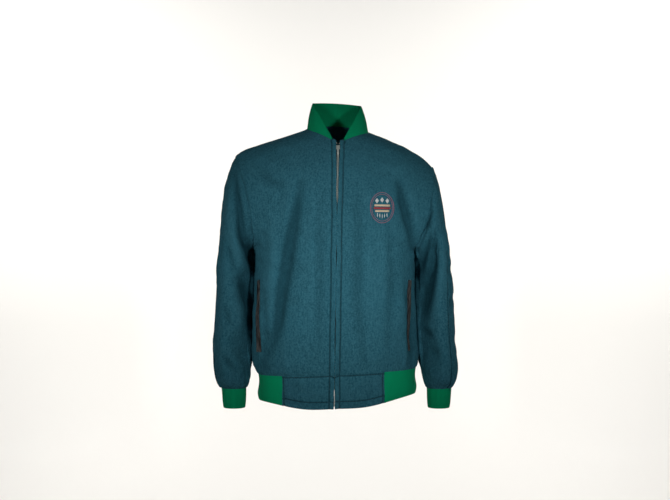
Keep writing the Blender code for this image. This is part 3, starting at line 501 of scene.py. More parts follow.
FOLDS = (
    Fold("front_right", 11.0 * MM, 0.0135, 4.0 * MM, -0.030,
         ((-0.084, -0.140), (-0.106, -0.245), (-0.126, -0.348), (-0.142, -0.471), (-0.168, -0.585))),
    Fold("front_right", 3.9 * MM, 0.010, 1.8 * MM, 0.018,
         ((-0.128, -0.150), (-0.132, -0.215), (-0.139, -0.300))),
    Fold("front_right", 2.7 * MM, 0.012, 1.5 * MM, -0.020,
         ((-0.036, -0.160), (-0.042, -0.280), (-0.040, -0.400), (-0.046, -0.560))),
    Fold("front_right", 4.5 * MM, 0.009, 2.4 * MM, 0.016,
         ((-0.176, -0.400), (-0.172, -0.500), (-0.182, -0.600))),
    Fold("front_right", -2.1 * MM, 0.008, 0.0, 0.0, ((-0.146, -0.047), (-0.120, -0.050), (-0.096, -0.055))),
    Fold("front_right", 3.6 * MM, 0.011, 2.1 * MM, 0.018,
         ((-0.190, -0.096), (-0.160, -0.128), (-0.128, -0.142))),
    Fold("front_left", 9.0 * MM, 0.0095, 3.9 * MM, 0.018,
         ((0.150, -0.115), (0.160, -0.172), (0.172, -0.213), (0.181, -0.252), (0.188, -0.300))),
    Fold("front_left", -2.3 * MM, 0.009, 0.0, 0.0, ((0.108, -0.092), (0.150, -0.108), (0.170, -0.150))),
    Fold("front_left", 3.6 * MM, 0.013, 2.1 * MM, 0.022,
         ((0.046, -0.140), (0.058, -0.290), (0.054, -0.420), (0.070, -0.590))),
    Fold("front_left", 3.6 * MM, 0.011, 1.8 * MM, -0.017,
         ((0.128, -0.250), (0.134, -0.380), (0.124, -0.560))),
    Fold("front_left", 5.7 * MM, 0.008, 3.0 * MM, -0.014,
         ((0.172, -0.380), (0.180, -0.470), (0.186, -0.535), (0.180, -0.600))),
    Fold("back", 6.3 * MM, 0.012, 3.6 * MM, 0.022, ((-0.176, -0.100), (-0.146, -0.160), (-0.086, -0.206))),
    Fold("back", 6.3 * MM, 0.012, 3.6 * MM, -0.022, ((0.180, -0.120), (0.150, -0.178), (0.094, -0.224))),
    Fold("back", 7.5 * MM, 0.012, 4.2 * MM, 0.022, ((-0.184, -0.200), (-0.152, -0.290), (-0.134, -0.400))),
    Fold("back", 6.9 * MM, 0.012, 3.9 * MM, -0.022, ((0.190, -0.220), (0.160, -0.306), (0.142, -0.420))),
    Fold("back", 5.4 * MM, 0.014, 3.3 * MM, 0.026, ((-0.060, -0.240), (-0.078, -0.420), (-0.108, -0.600))),
    Fold("back", 5.4 * MM, 0.014, 3.3 * MM, -0.026, ((0.056, -0.280), (0.082, -0.450), (0.104, -0.600))),
    Fold("back", 3.6 * MM, 0.010, 2.4 * MM, 0.018, ((-0.060, -0.548), (0.000, -0.562), (0.070, -0.552))),
    Fold("sleeve_front_right", 9.8 * MM, 0.0095, 5.5 * MM, -0.018,
         ((-0.250, -0.110), (-0.240, -0.190), (-0.229, -0.264), (-0.216, -0.310), (-0.208, -0.345))),
    Fold("sleeve_front_right", -3.9 * MM, 0.007, 0.0, 0.0,
         ((-0.252, -0.264), (-0.236, -0.312), (-0.219, -0.352))),
    Fold("sleeve_front_right", 4.9 * MM, 0.007, 2.4 * MM, 0.012, ((-0.266, -0.285), (-0.242, -0.350))),
    Fold("sleeve_front_right", 9.4 * MM, 0.010, 4.5 * MM, -0.018,
         ((-0.232, -0.370), (-0.218, -0.429), (-0.214, -0.510))),
    Fold("sleeve_front_right", 4.1 * MM, 0.009, 2.1 * MM, 0.014, ((-0.276, -0.430), (-0.250, -0.480))),
    Fold("sleeve_front_right", 4.5 * MM, 0.008, 2.4 * MM, 0.013, ((-0.274, -0.555), (-0.244, -0.592))),
    Fold("sleeve_front_left", 11.2 * MM, 0.0105, 5.9 * MM, 0.018,
         ((0.243, -0.262), (0.237, -0.337), (0.228, -0.397), (0.214, -0.475))),
    Fold("sleeve_front_left", 6.8 * MM, 0.006, 3.1 * MM, -0.010,
         ((0.231, -0.250), (0.216, -0.310), (0.205, -0.370))),
    Fold("sleeve_front_left", 6.8 * MM, 0.007, 3.1 * MM, 0.012,
         ((0.228, -0.205), (0.214, -0.245), (0.205, -0.280))),
    Fold("sleeve_front_left", 5.2 * MM, 0.009, 2.4 * MM, 0.013, ((0.212, -0.488), (0.234, -0.514))),
    Fold("sleeve_front_left", 4.1 * MM, 0.009, 2.1 * MM, 0.013, ((0.230, -0.540), (0.256, -0.566))),
    Fold("sleeve_back_right", 7.9 * MM, 0.010, 4.1 * MM, 0.016,
         ((-0.284, -0.325), (-0.250, -0.372), (-0.222, -0.382))),
    Fold("sleeve_back_right", 7.1 * MM, 0.009, 3.8 * MM, 0.015,
         ((-0.288, -0.396), (-0.256, -0.428), (-0.224, -0.426))),
    Fold("sleeve_back_right", 6.4 * MM, 0.010, 3.1 * MM, 0.016,
         ((-0.266, -0.160), (-0.248, -0.225), (-0.226, -0.300))),
    Fold("sleeve_back_left", 7.9 * MM, 0.010, 4.1 * MM, -0.016,
         ((0.282, -0.345), (0.250, -0.388), (0.222, -0.400))),
    Fold("sleeve_back_left", 7.1 * MM, 0.009, 3.8 * MM, -0.015,
         ((0.288, -0.416), (0.256, -0.448), (0.226, -0.444))),
    Fold("sleeve_back_left", 6.4 * MM, 0.010, 3.1 * MM, -0.016,
         ((0.264, -0.180), (0.250, -0.250), (0.228, -0.320))),
)


class Gather(NamedTuple):
    """Small pleats that run off a seam; "" is a border sewn to nothing."""

    on: str
    seam: str
    pitch: float
    depth: float
    reach: float


GATHERS = (
    Gather("sleeve", "cuff", 0.0150, 2.4 * MM, 0.026),
    Gather("front", "hem", 0.0270, 1.3 * MM, 0.030),
    Gather("back", "hem", 0.0240, 1.7 * MM, 0.034),
    Gather("front", "sleeve", 0.0230, 0.7 * MM, 0.013),
    Gather("back", "sleeve", 0.0230, 0.8 * MM, 0.014),
    Gather("sleeve", "front", 0.0210, 1.0 * MM, 0.014),
    Gather("sleeve", "back", 0.0210, 1.0 * MM, 0.014),
    Gather("front", "collar", 0.0140, 0.4 * MM, 0.008),
    Gather("back", "collar", 0.0140, 0.5 * MM, 0.009),
    Gather("sleeve_front", "sleeve_back", 0.0190, 0.5 * MM, 0.008),
    Gather("sleeve_back", "sleeve_front", 0.0190, 0.5 * MM, 0.008),
    Gather("hem_tab", "hem_rib", 0.0130, 0.5 * MM, 0.009),
    Gather("hem_tab", "front", 0.0160, 0.5 * MM, 0.009),
)


class Swell(NamedTuple):
    """Slow unevenness of the cloth: waves of about one length in seeded directions."""

    length: float
    depth: float
    seed: int


SWELLS = (Swell(0.110, 2.0 * MM, 4), Swell(0.046, 0.75 * MM, 9), Swell(0.020, 0.16 * MM, 17))
SWELL_WAVES = 9
CARRY_NEIGHBOURS = 6         # cloth points that say how a lip on the cloth moves with it
SEAM_FADE = 0.011            # folds reach their full depth this far from a seam
SWELL_FADE = 0.006           # and swells this far
GATHER_FADE = 0.006          # and gathers this far

# the wool's colour paints shade in the troughs and light on the ridges from this attribute
PRESSED = "pressed"          # surface attribute: how far the cloth is pressed in (below 0) or stands out
STITCH_INSET = {Line.EDGE: 9.5 * MM, Line.WAIST: 4.0 * MM, Line.SIDE: 5.0 * MM, Line.HEM: 17.0 * MM,
                Line.TOP: 2.6 * MM}
SEWN_DIP = 0.9 * MM          # the cloth dips this far at a row of topstitching
SEWN_DIP_WIDTH = 4.2 * MM
TAPE_REACH = 0.012           # the tape backs the cloth this far from the folded edge
TAPE_FREE = 0.034            # folds have their full depth from here on
RIB_STEPS = 360              # steps round a rib piece where its width is read
RIB_SMOOTH = 6               # steps to each side over which that width is evened out


class LapPoint(NamedTuple):
    """Height on the front, how far the folded edge keeps from the zip's middle, and how far it stands out."""

    z: float
    clear: float
    lift: float


LAP = (
    LapPoint(-0.693, 1.5 * MM, 1.2 * MM), LapPoint(-0.686, 2.1 * MM, 0.8 * MM),
    LapPoint(-0.650, 2.1 * MM, 0.8 * MM), LapPoint(-0.610, 1.6 * MM, 2.2 * MM),
    LapPoint(-0.560, 1.4 * MM, 2.4 * MM), LapPoint(-0.530, 2.0 * MM, 2.1 * MM),
    LapPoint(-0.470, 2.1 * MM, 2.1 * MM), LapPoint(-0.440, 1.4 * MM, 2.4 * MM),
    LapPoint(-0.345, 1.3 * MM, 2.4 * MM), LapPoint(-0.325, 2.0 * MM, 2.1 * MM),
    LapPoint(-0.305, 2.0 * MM, 2.1 * MM), LapPoint(-0.285, 1.3 * MM, 2.4 * MM),
    LapPoint(-0.215, 1.3 * MM, 2.4 * MM), LapPoint(-0.190, 2.1 * MM, 2.0 * MM),
    LapPoint(-0.170, 3.0 * MM, 0.6 * MM), LapPoint(-0.090, 3.3 * MM, 0.4 * MM),
    LapPoint(-0.072, 5.0 * MM, 0.2 * MM),
)
ZIP_MIDDLE = ((-0.690, -0.0046), (-0.600, -0.0034), (-0.400, -0.0003), (-0.200, 0.0024), (-0.058, 0.0047))
EDGE_OFF = 0.022             # the front's free edge keeps this near the zip's middle, and nearer at the hem
EDGE_OFF_LOW = 0.0085
LAP_REACH = 0.030            # the cloth is drawn over the zip from this far away
LIFT_REACH = 0.0085
REST_CLEAR = 0.3 * MM        # an arm's cloth rests this close to the side of the body
REST_NEAR = 0.005            # nearer than this it rests, and farther than REST_FAR it hangs free
REST_FAR = 0.013
REST_HEIGHTS = (-0.600, -0.560, -0.270, -0.235)


class SewnLine(NamedTuple):
    """Topstitching at its inset from one border of a piece; "" is a border sewn to nothing."""

    on: str
    seam: str
    line: Line


SEWN_LINES = (
    SewnLine("front", "", Line.EDGE), SewnLine("hem_tab", "", Line.EDGE),
    SewnLine("hem_tab", "front", Line.WAIST), SewnLine("hem_tab", "hem_rib", Line.SIDE),
    SewnLine("hem_tab", "", Line.HEM), SewnLine("sleeve_front", "sleeve_back", Line.TOP),
)


class Cut(NamedTuple):
    """A cloth piece's node, the rectangle it is cut from, its own flat area, and how it is held."""

    node: str
    width: float
    length: float
    area: float
    held: str


CUTS = (
    Cut("front_right", 0.300, 0.640, 0.150, "hung"),
    Cut("front_left", 0.300, 0.640, 0.150, "hung"),
    Cut("back", 0.600, 0.640, 0.310, "hung"),
    Cut("sleeve_front_right", 0.200, 0.570, 0.085, "hung"),
    Cut("sleeve_back_right", 0.220, 0.570, 0.095, "hung"),
    Cut("sleeve_front_left", 0.160, 0.570, 0.060, "hung"),
    Cut("sleeve_back_left", 0.240, 0.570, 0.105, "hung"),
    Cut("hem_tab_right", 0.130, 0.090, 0.0100, "hung"),
    Cut("hem_tab_left", 0.125, 0.090, 0.0095, "hung"),
    Cut("collar", 0.460, 0.090, 0.0260, "stretched"),
    Cut("cuff_right", 0.195, 0.050, 0.0095, "stretched"),
    Cut("cuff_left", 0.195, 0.050, 0.0095, "stretched"),
    Cut("hem_rib", 0.880, 0.090, 0.0540, "stretched"),
)


# ---------------------------------------------------------------- mesh helpers

def smoothstep(low: float, high: float, values: np.ndarray) -> np.ndarray:
    """Rise from 0 at low to 1 at high.

    Args:
        low: where the rise starts.
        high: where it ends.
        values: where to work it out.

    Returns:
        Shares from 0 to 1.
    """
    t = np.clip((values - low) / (high - low), 0.0, 1.0)
    return t * t * (3.0 - 2.0 * t)


def merged_copy(node: bpy.types.Object) -> bmesh.types.BMesh:
    """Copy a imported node's mesh, with its corners merged and its triangles paired.

    Args:
        node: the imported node.

    Returns:
        The copy.
    """
    copy = bmesh.new()
    copy.from_mesh(node.data)
    bmesh.ops.remove_doubles(copy, verts=copy.verts, dist=MERGE)
    bmesh.ops.join_triangles(copy, faces=copy.faces, angle_face_threshold=RIM_ANGLE,
                             angle_shape_threshold=math.pi)
    for edge in copy.edges:
        edge.smooth = True
    smoothed(copy)
    return copy


def placed(name: str, mesh: bmesh.types.BMesh, *materials: bpy.types.Material) -> bpy.types.Object:
    """Make an object at the origin from a bmesh.

    Args:
        name: object name.
        mesh: its shape, freed afterwards.
        materials: its material slots.

    Returns:
        The object.
    """
    data = bpy.data.meshes.new(name)
    mesh.to_mesh(data)
    mesh.free()
    if "custom_normal" in data.attributes:
        data.attributes.remove(data.attributes["custom_normal"])
    for material in materials:
        data.materials.append(material)
    thing = bpy.data.objects.new(name, data)
    bpy.context.scene.collection.objects.link(thing)
    return thing


def refined(thing: bpy.types.Object, levels: int) -> None:
    """Subdivide an object's mesh for good.

    Args:
        thing: the object.
        levels: how many times.
    """
    modifier = thing.modifiers.new("fine", "SUBSURF")
    modifier.levels = modifier.render_levels = levels
    graph = bpy.context.evaluated_depsgraph_get()
    fine = bpy.data.meshes.new_from_object(thing.evaluated_get(graph), preserve_all_data_layers=True,
                                           depsgraph=graph)
    thing.modifiers.remove(modifier)
    coarse, thing.data = thing.data, fine
    bpy.data.meshes.remove(coarse)
    fine.name = thing.name


def smoothed(mesh: bmesh.types.BMesh) -> None:
    """Shade every face of a mesh smooth."""
    for face in mesh.faces:
        face.smooth = True


def rounded_copy(node: bpy.types.Object, width: float) -> bmesh.types.BMesh:
    """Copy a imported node's mesh and round its sharp edges.

    Args:
        node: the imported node.
        width: width of the rounding.

    Returns:
        The copy.
    """
    copy = merged_copy(node)
    sharp = [edge for edge in copy.edges if edge.calc_face_angle(0.0) > RIM_ANGLE]
    bmesh.ops.bevel(copy, geom=sharp, offset=width, segments=3, profile=0.5, affect="EDGES",
                    material=-1, clamp_overlap=True)
    return copy


def stand_for(node: bpy.types.Object, thing: bpy.types.Object, body: str = "jacket") -> None:
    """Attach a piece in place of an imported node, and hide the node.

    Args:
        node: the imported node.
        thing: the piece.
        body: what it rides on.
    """
    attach(thing, body)
    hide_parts(node.name)


def length_along(points: np.ndarray) -> np.ndarray:
    """Length from the first of a row of points to each of them."""
    return np.concatenate([[0.0], np.cumsum(np.linalg.norm(np.diff(points, axis=0), axis=1))])


def tree_of(points: np.ndarray) -> KDTree:
    """Search tree of points."""
    tree = KDTree(len(points))
    for k, point in enumerate(points):
        tree.insert(point, k)
    tree.balance()
    return tree


def nearest(tree: KDTree, points: np.ndarray) -> tuple[np.ndarray, np.ndarray]:
    """Look up the nearest tree point of each point.

    Args:
        tree: where to look.
        points: what to look for.

    Returns:
        Indices in the tree, and distances.
    """
    found = [tree.find(point) for point in points]
    return np.array([f[1] for f in found]), np.array([f[2] for f in found])


def path_distance(points: np.ndarray, path: Sequence[Sequence[float]]) -> tuple[np.ndarray, np.ndarray]:
    """Measure points against a path in the XZ plane.

    Args:
        points: places in 3D.
        path: the path's (x, z) points.

    Returns:
        Signed distance, positive to the left of the path's run, and share along the path.
    """
    flat = points[:, (0, 2)]
    best = np.full(len(flat), FAR)
    signed, along = np.zeros(len(flat)), np.zeros(len(flat))
    for k, (start, end) in enumerate(zip(path, path[1:])):
        start, run = np.array(start), np.array(end) - np.array(start)
        share = np.clip((flat - start) @ run / (run @ run), 0.0, 1.0)
        away = flat - start - share[:, None] * run
        gap = np.linalg.norm(away, axis=1)
        side = np.sign(run[0] * away[:, 1] - run[1] * away[:, 0])
        closer = gap < best
        best[closer] = gap[closer]
        signed[closer] = (gap * side)[closer]
        along[closer] = ((k + share) / (len(path) - 1))[closer]
    return signed, along


# ---------------------------------------------------------------- cloth

class Cloth:
    """One cloth piece: a fine shell on its solid's form, whose two skins move together."""

    def __init__(self, cut: Cut, node: bpy.types.Object, material: bpy.types.Material) -> None:
        """Copy and refine the solid.

        Args:
            cut: the piece's cut.
            node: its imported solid.
            material: its finish.
        """
        self.cut, self.name = cut, cut.node
        cage = merged_copy(node)
        self._mark_skins(cage)
        self.thing = placed("cloth_" + cut.node, cage, material, material, material)
        refined(self.thing, FINE_LEVELS)
        self._read()

    def _side(self) -> Side:
        """The wearer's side that the piece is on."""
        return Side.LEFT if self.name.endswith("left") else Side.RIGHT

    def _middle(self, point: Vector) -> Vector:
        """Point of the body's or the arm's axis at a height.

        Args:
            point: a place on the piece.

        Returns:
            The axis point.
        """
        if not self.name.startswith(("sleeve", "cuff")):
            return Vector((0.0, 0.0, point.z))
        low = min(max((ARM_TOP - point.z) / ARM_LENGTH, 0.0), 1.0)
        out, back = (at + lean * low for at, lean in zip(ARM_AT, ARM_LEAN))
        return Vector((self._side().value * out, back, point.z))

    def _mark_skins(self, cage: bmesh.types.BMesh) -> None:
        """Number the cage's faces by skin and crease the edges between the skins.

        Args:
            cage: the merged copy of the solid.
        """
        crease = cage.edges.layers.float.new("crease_edge")
        sharp = {edge for edge in cage.edges if edge.calc_face_angle(0.0) > RIM_ANGLE}
        for edge in sharp:
            edge[crease] = SEAM_CREASE
        left, regions = set(cage.faces), []
        while left:
            region = queue = [left.pop()]
            for face in queue:
                for edge in face.edges:
                    if edge not in sharp:
                        for beside in edge.link_faces:
                            if beside in left:
                                left.remove(beside)
                                queue.append(beside)
            regions.append(region)
        regions.sort(key=lambda faces: -sum(face.calc_area() for face in faces))
        outward = [sum(face.calc_area() * face.normal.dot((face.calc_center_median()
                   - self._middle(face.calc_center_median())).normalized()) for face in region)
                   for region in regions[:2]]
        for k, region in enumerate(regions):
            skin = Skin.RIM if k > 1 else Skin.OUTER if outward[k] > outward[1 - k] else Skin.INNER
            for face in region:
                face.material_index = skin.value
        held = cage.verts.layers.float.new("crease_vert")
        for vert in cage.verts:
            if sum(edge.calc_face_angle(0.0) > RIM_ANGLE for edge in vert.link_edges) > 2:
                vert[held] = 1.0

    def _read(self) -> None:
        """Read points, skins and the border loops of the fine mesh into arrays."""
        data = self.thing.data
        self.points = np.empty(len(data.vertices) * 3)
        data.vertices.foreach_get("co", self.points)
        self.points = self.points.reshape(-1, 3)
        self.start = self.points
        normals = np.empty(len(data.vertices) * 3)
        data.vertices.foreach_get("normal", normals)
        corners = np.empty(len(data.loops), int)
        data.loops.foreach_get("vertex_index", corners)
        self.corners = corners.reshape(-1, 4)
        skins = np.empty(len(data.polygons), int)
        data.polygons.foreach_get("material_index", skins)
        outer = np.unique(self.corners[skins == Skin.OUTER.value])
        beyond = np.unique(self.corners[skins != Skin.OUTER.value])
        self.outer = outer
        self.outer_faces = self.corners[skins == Skin.OUTER.value]
        self.twin = outer[nearest(tree_of(self.points[outer]), self.points)[0]]
        self.outward = normals.reshape(-1, 3)
        self.border = np.intersect1d(outer, beyond)
        self.loops = self._chains()
        data.polygons.foreach_set("material_index", np.zeros(len(data.polygons), int))

    def _chains(self) -> list[np.ndarray]:
        """Order the outer skin's border points into closed loops."""
        owners: dict[tuple[int, int], int] = {}
        for face in self.outer_faces:
            for a, b in zip(face, np.roll(face, -1)):
                owners[(a, b)] = 1
        ahead = {a: b for a, b in owners if (b, a) not in owners}
        loops = []
        while ahead:
            start = next(iter(ahead))
            loop, point = [], start
            while point in ahead:
                loop.append(point)
                point = ahead.pop(point)
            loops.append(np.array(loop))
        return loops

    def meet(self, others: Sequence["Cloth"]) -> None:
        """Find which piece each border point is sewn to.

        Args:
            others: every cloth piece.
        """
        self.sewn_to = np.full(len(self.points), "", dtype=object)
        best = np.full(len(self.points), NEAR_SEAM)
        low, high = self.points.min(axis=0) - NEAR_SEAM, self.points.max(axis=0) + NEAR_SEAM
        for other in others:
            near = other.points[other.border]
            if other is self or (near.max(axis=0) < low).any() or (near.min(axis=0) > high).any():
                continue
            _, gaps = nearest(tree_of(near), self.points[self.border])
            closer = self.border[gaps < best[self.border]]
            best[closer] = gaps[gaps < best[self.border]]
            self.sewn_to[closer] = other.name

    def seam_shift(self, others: Sequence["Cloth"]) -> np.ndarray:
        """How far the outer skin moves for its seams to close on the pieces beside it.

        Args:
            others: every cloth piece.

        Returns:
            A shift for each outer point.
        """
        full, along = np.zeros_like(self.points), np.zeros_like(self.points)
        for loop in self.loops:
            along[loop] = self.points[np.roll(loop, -1)] - self.points[np.roll(loop, 1)]
        for other in others:
            mine = self.border[self.sewn_to[self.border] == other.name]
            if len(mine):
                index, _ = nearest(tree_of(other.points[other.border]), self.points[mine])
                away = other.points[other.border][index] - self.points[mine]
                way = along[mine] / np.maximum(np.linalg.norm(along[mine], axis=1), 1e-9)[:, None]
                away -= np.einsum("ij,ij->i", away, way)[:, None] * way
                size = np.maximum(np.linalg.norm(away, axis=1), 1e-9)[:, None]
                full[mine] = away / size * (size / 2 + np.minimum(size, SEAM_OVERLAP))
        index, gap = nearest(tree_of(self.points[self.border]), self.points[self.outer])
        return full[self.border[index]] * (1.0 - smoothstep(0.0, SEAM_REACH, gap))[:, None]

    def sew(self, shift: np.ndarray) -> None:
        """Close the seams.

        Args:
            shift: how far each point of the outer skin moves.
        """
        self._move(shift)
        self.start = self.points

    def run(self, seam: str, line: Optional[Line] = None) -> list[int]:
        """Border points along one seam or free edge, in order.

        Args:
            seam: start of the other piece's name, or "" for a free edge.
            line: the sewn line, which tells the free edges apart.

        Returns:
            The longest unbroken run of them.
        """
        runs = []
        for loop in self.loops:
            wanted = [self._belongs(k, seam, line) for k in loop]
            if all(wanted):
                runs.append(list(loop))
            if not any(wanted) or all(wanted):
                continue
            first = wanted.index(False)
            run: list[int] = []
            for k, take in zip(np.roll(loop, -first), np.roll(wanted, -first)):
                if take:
                    run.append(k)
                elif run:
                    runs.append(run)
                    run = []
            runs.append(run)
        return max(runs, key=len, default=[])

    def _belongs(self, k: int, seam: str, line: Optional[Line]) -> bool:
        """Whether a border point is on a seam or on the free edge that a line runs along.

        Args:
            k: the point.
            seam: start of the other piece's name, or "" for a free edge.
            line: the sewn line.

        Returns:
            True where it is.
        """
        if seam:
            return self.sewn_to[k].startswith(seam)
        x, _, z = self.points[k]
        off = abs(x - float(np.interp(z, *zip(*ZIP_MIDDLE))))
        upright = z < NECK_LOW and off < (EDGE_OFF_LOW if z < TABS_TOP else EDGE_OFF)
        return self.sewn_to[k] == "" and (line is None or upright == (line is Line.EDGE))

    def press(self) -> None:
        """Press folds, gathers, swells and sewn edges into the shell."""
        places = self.points[self.outer]
        _, gap = nearest(tree_of(self.points[self.border]), places)
        push = np.zeros(len(places))
        for fold in FOLDS:
            if fold.on == self.name:
                signed, along = path_distance(places, fold.path)
                life = np.sin(math.pi * np.clip(along, 0.03, 0.97)) ** 0.6
                width = fold.width * (0.75 + 0.5 * life)
                push -= fold.depth * life * np.exp(-(signed / width) ** 2)
                push += fold.ridge * life * np.exp(-((signed - fold.ridge_offset) / (1.3 * width)) ** 2)
        push *= smoothstep(0.0, SEAM_FADE, gap)
        # the wool's colour paints the fold shade and the ridge light from this attribute
        layer = self.thing.data.attributes.new(PRESSED, "FLOAT", "POINT")
        full = np.zeros(len(self.points))
        full[self.outer] = push
        layer.data.foreach_set("value", full[self.twin])
        if not self.name.startswith(("collar", "cuff", "hem_rib")):
            push += self._swell(places) * smoothstep(0.0, SWELL_FADE, gap)
        push *= self._off_tape(places)
        for gather in GATHERS:
            run = self.run(gather.seam) if self.name.startswith(gather.on) else []
            if run:
                push += self._gathered(places, run, gather)
        for sewn in SEWN_LINES:
            if self.name.startswith(sewn.on):
                push += self._sewn_edge(places, sewn)
        self._move(self.outward[self.outer] * push[:, None] + self._lap(places))

    def _front_edge(self) -> list[int]:
        """Border points of the free edge beside the zip, or none on a piece without one."""
        return self.run("", Line.EDGE) if self.name.startswith(("front", "hem_tab")) else []

    def _off_tape(self, places: np.ndarray) -> np.ndarray:
        """Hold folds back where the zip's tape backs the cloth.

        Args:
            places: points of the outer skin.

        Returns:
            Share of the folds' depth that is left at each.
        """
        run = self._front_edge()
        if not run:
            return np.ones(len(places))
        return smoothstep(TAPE_REACH, TAPE_FREE, nearest(tree_of(self.points[run]), places)[1])

    def _move(self, shift: np.ndarray) -> None:
        """Move both skins together.

        Args:
            shift: how far each point of the outer skin moves.
        """
        full = np.zeros_like(self.points)
        full[self.outer] = shift
        self.points = self.points + full[self.twin]
        self.thing.data.vertices.foreach_set("co", self.points.ravel())
        self.thing.data.update()

    def _lap(self, places: np.ndarray) -> np.ndarray:
        """Draw a front's folded edge over the zip.

        Args:
            places: points of the outer skin.

        Returns:
            How far each moves.
        """
        run = self._front_edge()
        shift = np.zeros_like(places)
        if not run:
            return shift
        side = self._side().value
        index, gap = nearest(tree_of(self.points[run]), places)
        edge = self.points[run][index]
        clear, lift = (np.interp(edge[:, 2], [point.z for point in LAP], [point[k] for point in LAP])
                       for k in (1, 2))
        middle = np.interp(edge[:, 2], *zip(*ZIP_MIDDLE))
        draw = np.maximum(side * (edge[:, 0] - middle) - clear, 0.0)
        shift[:, 0] = -side * draw * (1.0 - smoothstep(0.0, LAP_REACH, gap))
        rise = lift * (1.0 - smoothstep(0.35 * LIFT_REACH, LIFT_REACH, gap))
        return shift + self.outward[self.outer] * rise[:, None]

    def rest(self, body: BVHTree) -> None:
        """Let an arm's cloth rest against the side of the body.

        Args:
            body: surface of the body's pieces.
        """
        side = self._side().value
        shift = np.zeros((len(self.outer), 3))
        for k, point in enumerate(self.points[self.outer]):
            gap = body.ray_cast(Vector(point), Vector((-side, 0.0, 0.0)), REST_FAR)[3]
            if gap is not None:
                shift[k, 0] = -side * (gap - REST_CLEAR)
        near = np.abs(shift[:, 0])
        heights = self.points[self.outer][:, 2]
        low, low_full, high_full, high = REST_HEIGHTS
        share = (1.0 - smoothstep(REST_NEAR, REST_FAR, near)) * smoothstep(low, low_full, heights)
        self._move(shift * (share * (1.0 - smoothstep(high_full, high, heights)))[:, None])

    def tuck(self, body: BVHTree) -> None:
        """Lay a sleeve's armhole edge down on the body's cloth, so that the seam is closed.

        Args:
            body: surface of the body's pieces.
        """
        full = np.zeros_like(self.points)
        for k in self.border[self.points[self.border][:, 2] > TUCK_LOW]:
            place, normal, _, _ = body.find_nearest(Vector(self.points[k]), TUCK_NEAR)
            if place is not None:
                full[k] = place + normal * TUCK_CLEAR - Vector(self.points[k])
        index, gap = nearest(tree_of(self.points[self.border]), self.points[self.outer])
        self._move(full[self.border[index]] * (1.0 - smoothstep(0.0, TUCK_REACH, gap))[:, None])

    def _swell(self, places: np.ndarray) -> np.ndarray:
        """Slow unevenness at places.

        Args:
            places: points of the outer skin.

        Returns:
            How far each stands out.
        """
        total = np.zeros(len(places))
        for swell in SWELLS:
            dice = np.random.default_rng(swell.seed)
            for _ in range(SWELL_WAVES):
                way = dice.normal(size=3)
                way *= math.tau / swell.length * dice.uniform(0.7, 1.4) / np.linalg.norm(way)
                wave = np.sin(places @ way + dice.uniform(0, math.tau))
                total += swell.depth / math.sqrt(SWELL_WAVES) * wave
        return total

    def _gathered(self, places: np.ndarray, run: list[int], gather: Gather) -> np.ndarray:
        """Pleats that run off a seam.

        Args:
            places: points of the outer skin.
            run: the seam's border points in order.
            gather: size of the pleats.

        Returns:
            How far each place is pressed in or out.
        """
        seam = self.points[run]
        steps = length_along(seam)
        index, gap = nearest(tree_of(seam), places)
        at = steps[index] / gather.pitch
        wave = np.sin(math.tau * (at + 0.22 * np.sin(at * 1.7) + 0.15 * np.sin(at * 0.63 + 1.0)))
        uneven = 0.65 + 0.35 * np.sin(at * 0.9 + 2.0)
        return gather.depth * uneven * wave * np.exp(-gap / gather.reach) * smoothstep(0.0, GATHER_FADE, gap)

    def _sewn_edge(self, places: np.ndarray, sewn: SewnLine) -> np.ndarray:
        """Keep the distance from a sewn line's border, and dip the cloth along the line.

        Args:
            places: points of the outer skin.
            sewn: the sewn line.

        Returns:
            How far each place stands out.
        """
        run = self.run(sewn.seam, sewn.line)
        far = np.full(len(self.points), FAR)
        if not run:
            return np.zeros(len(places))
        _, gap = nearest(tree_of(self.points[run]), places)
        far[self.outer] = gap
        layer = self.thing.data.attributes.new(sewn.line.value, "FLOAT", "POINT")
        layer.data.foreach_set("value", far[self.twin])
        return -SEWN_DIP * np.exp(-((gap - STITCH_INSET[sewn.line]) / SEWN_DIP_WIDTH) ** 2)

    def lay_rib(self) -> None:
        """Give rib knit a UV map in metres: round the piece, and up it."""
        data = self.thing.data
        middle = np.array([self._middle(Vector(p)) for p in self.points])
        away = self.points - middle
        turn = np.arctan2(away[:, 0], -away[:, 1])
        radius = np.hypot(away[:, 0], away[:, 1])
        order = np.argsort(turn)
        sorted_turn, sorted_radius = turn[order], radius[order]
        steps = np.linspace(-math.pi, math.pi, RIB_STEPS + 1)
        smooth = np.interp(steps, sorted_turn, sorted_radius, period=math.tau)
        window = 2 * RIB_SMOOTH + 1
        smooth = np.convolve(np.pad(smooth, RIB_SMOOTH, mode="wrap"), np.ones(window) / window, mode="valid")
        xs, ys = smooth * np.sin(steps), -smooth * np.cos(steps)
        arc = np.concatenate([[0.0], np.cumsum(np.hypot(np.diff(xs), np.diff(ys)))])
        pitch = Rib().pitch
        arc *= round(arc[-1] / pitch) * pitch / arc[-1]
        around = np.interp(turn, steps, arc)[self.corners]
        first = around[:, :1]
        around = around - arc[-1] * np.round((around - first) / arc[-1])
        layer = data.uv_layers.new(name="along")
        flat = np.stack([around.ravel(), self.points[self.corners.ravel(), 2]], axis=1)
        layer.data.foreach_set("uv", flat.ravel())

    def carry(self, spots: np.ndarray) -> np.ndarray:
        """How far the pressed cloth has moved at spots on or near it.

        Args:
            spots: places on the unpressed piece.

        Returns:
            A shift for each.
        """
        tree = tree_of(self.start[self.outer])
        moved = (self.points - self.start)[self.outer]
        shifts = []
        for spot in spots:
            near = tree.find_n(Vector(spot), CARRY_NEIGHBOURS)
            shares = np.array([1.0 / (away + MM) ** 2 for _, _, away in near])
            shifts.append(shares @ moved[[k for _, k, _ in near]] / shares.sum())
        return np.array(shifts)

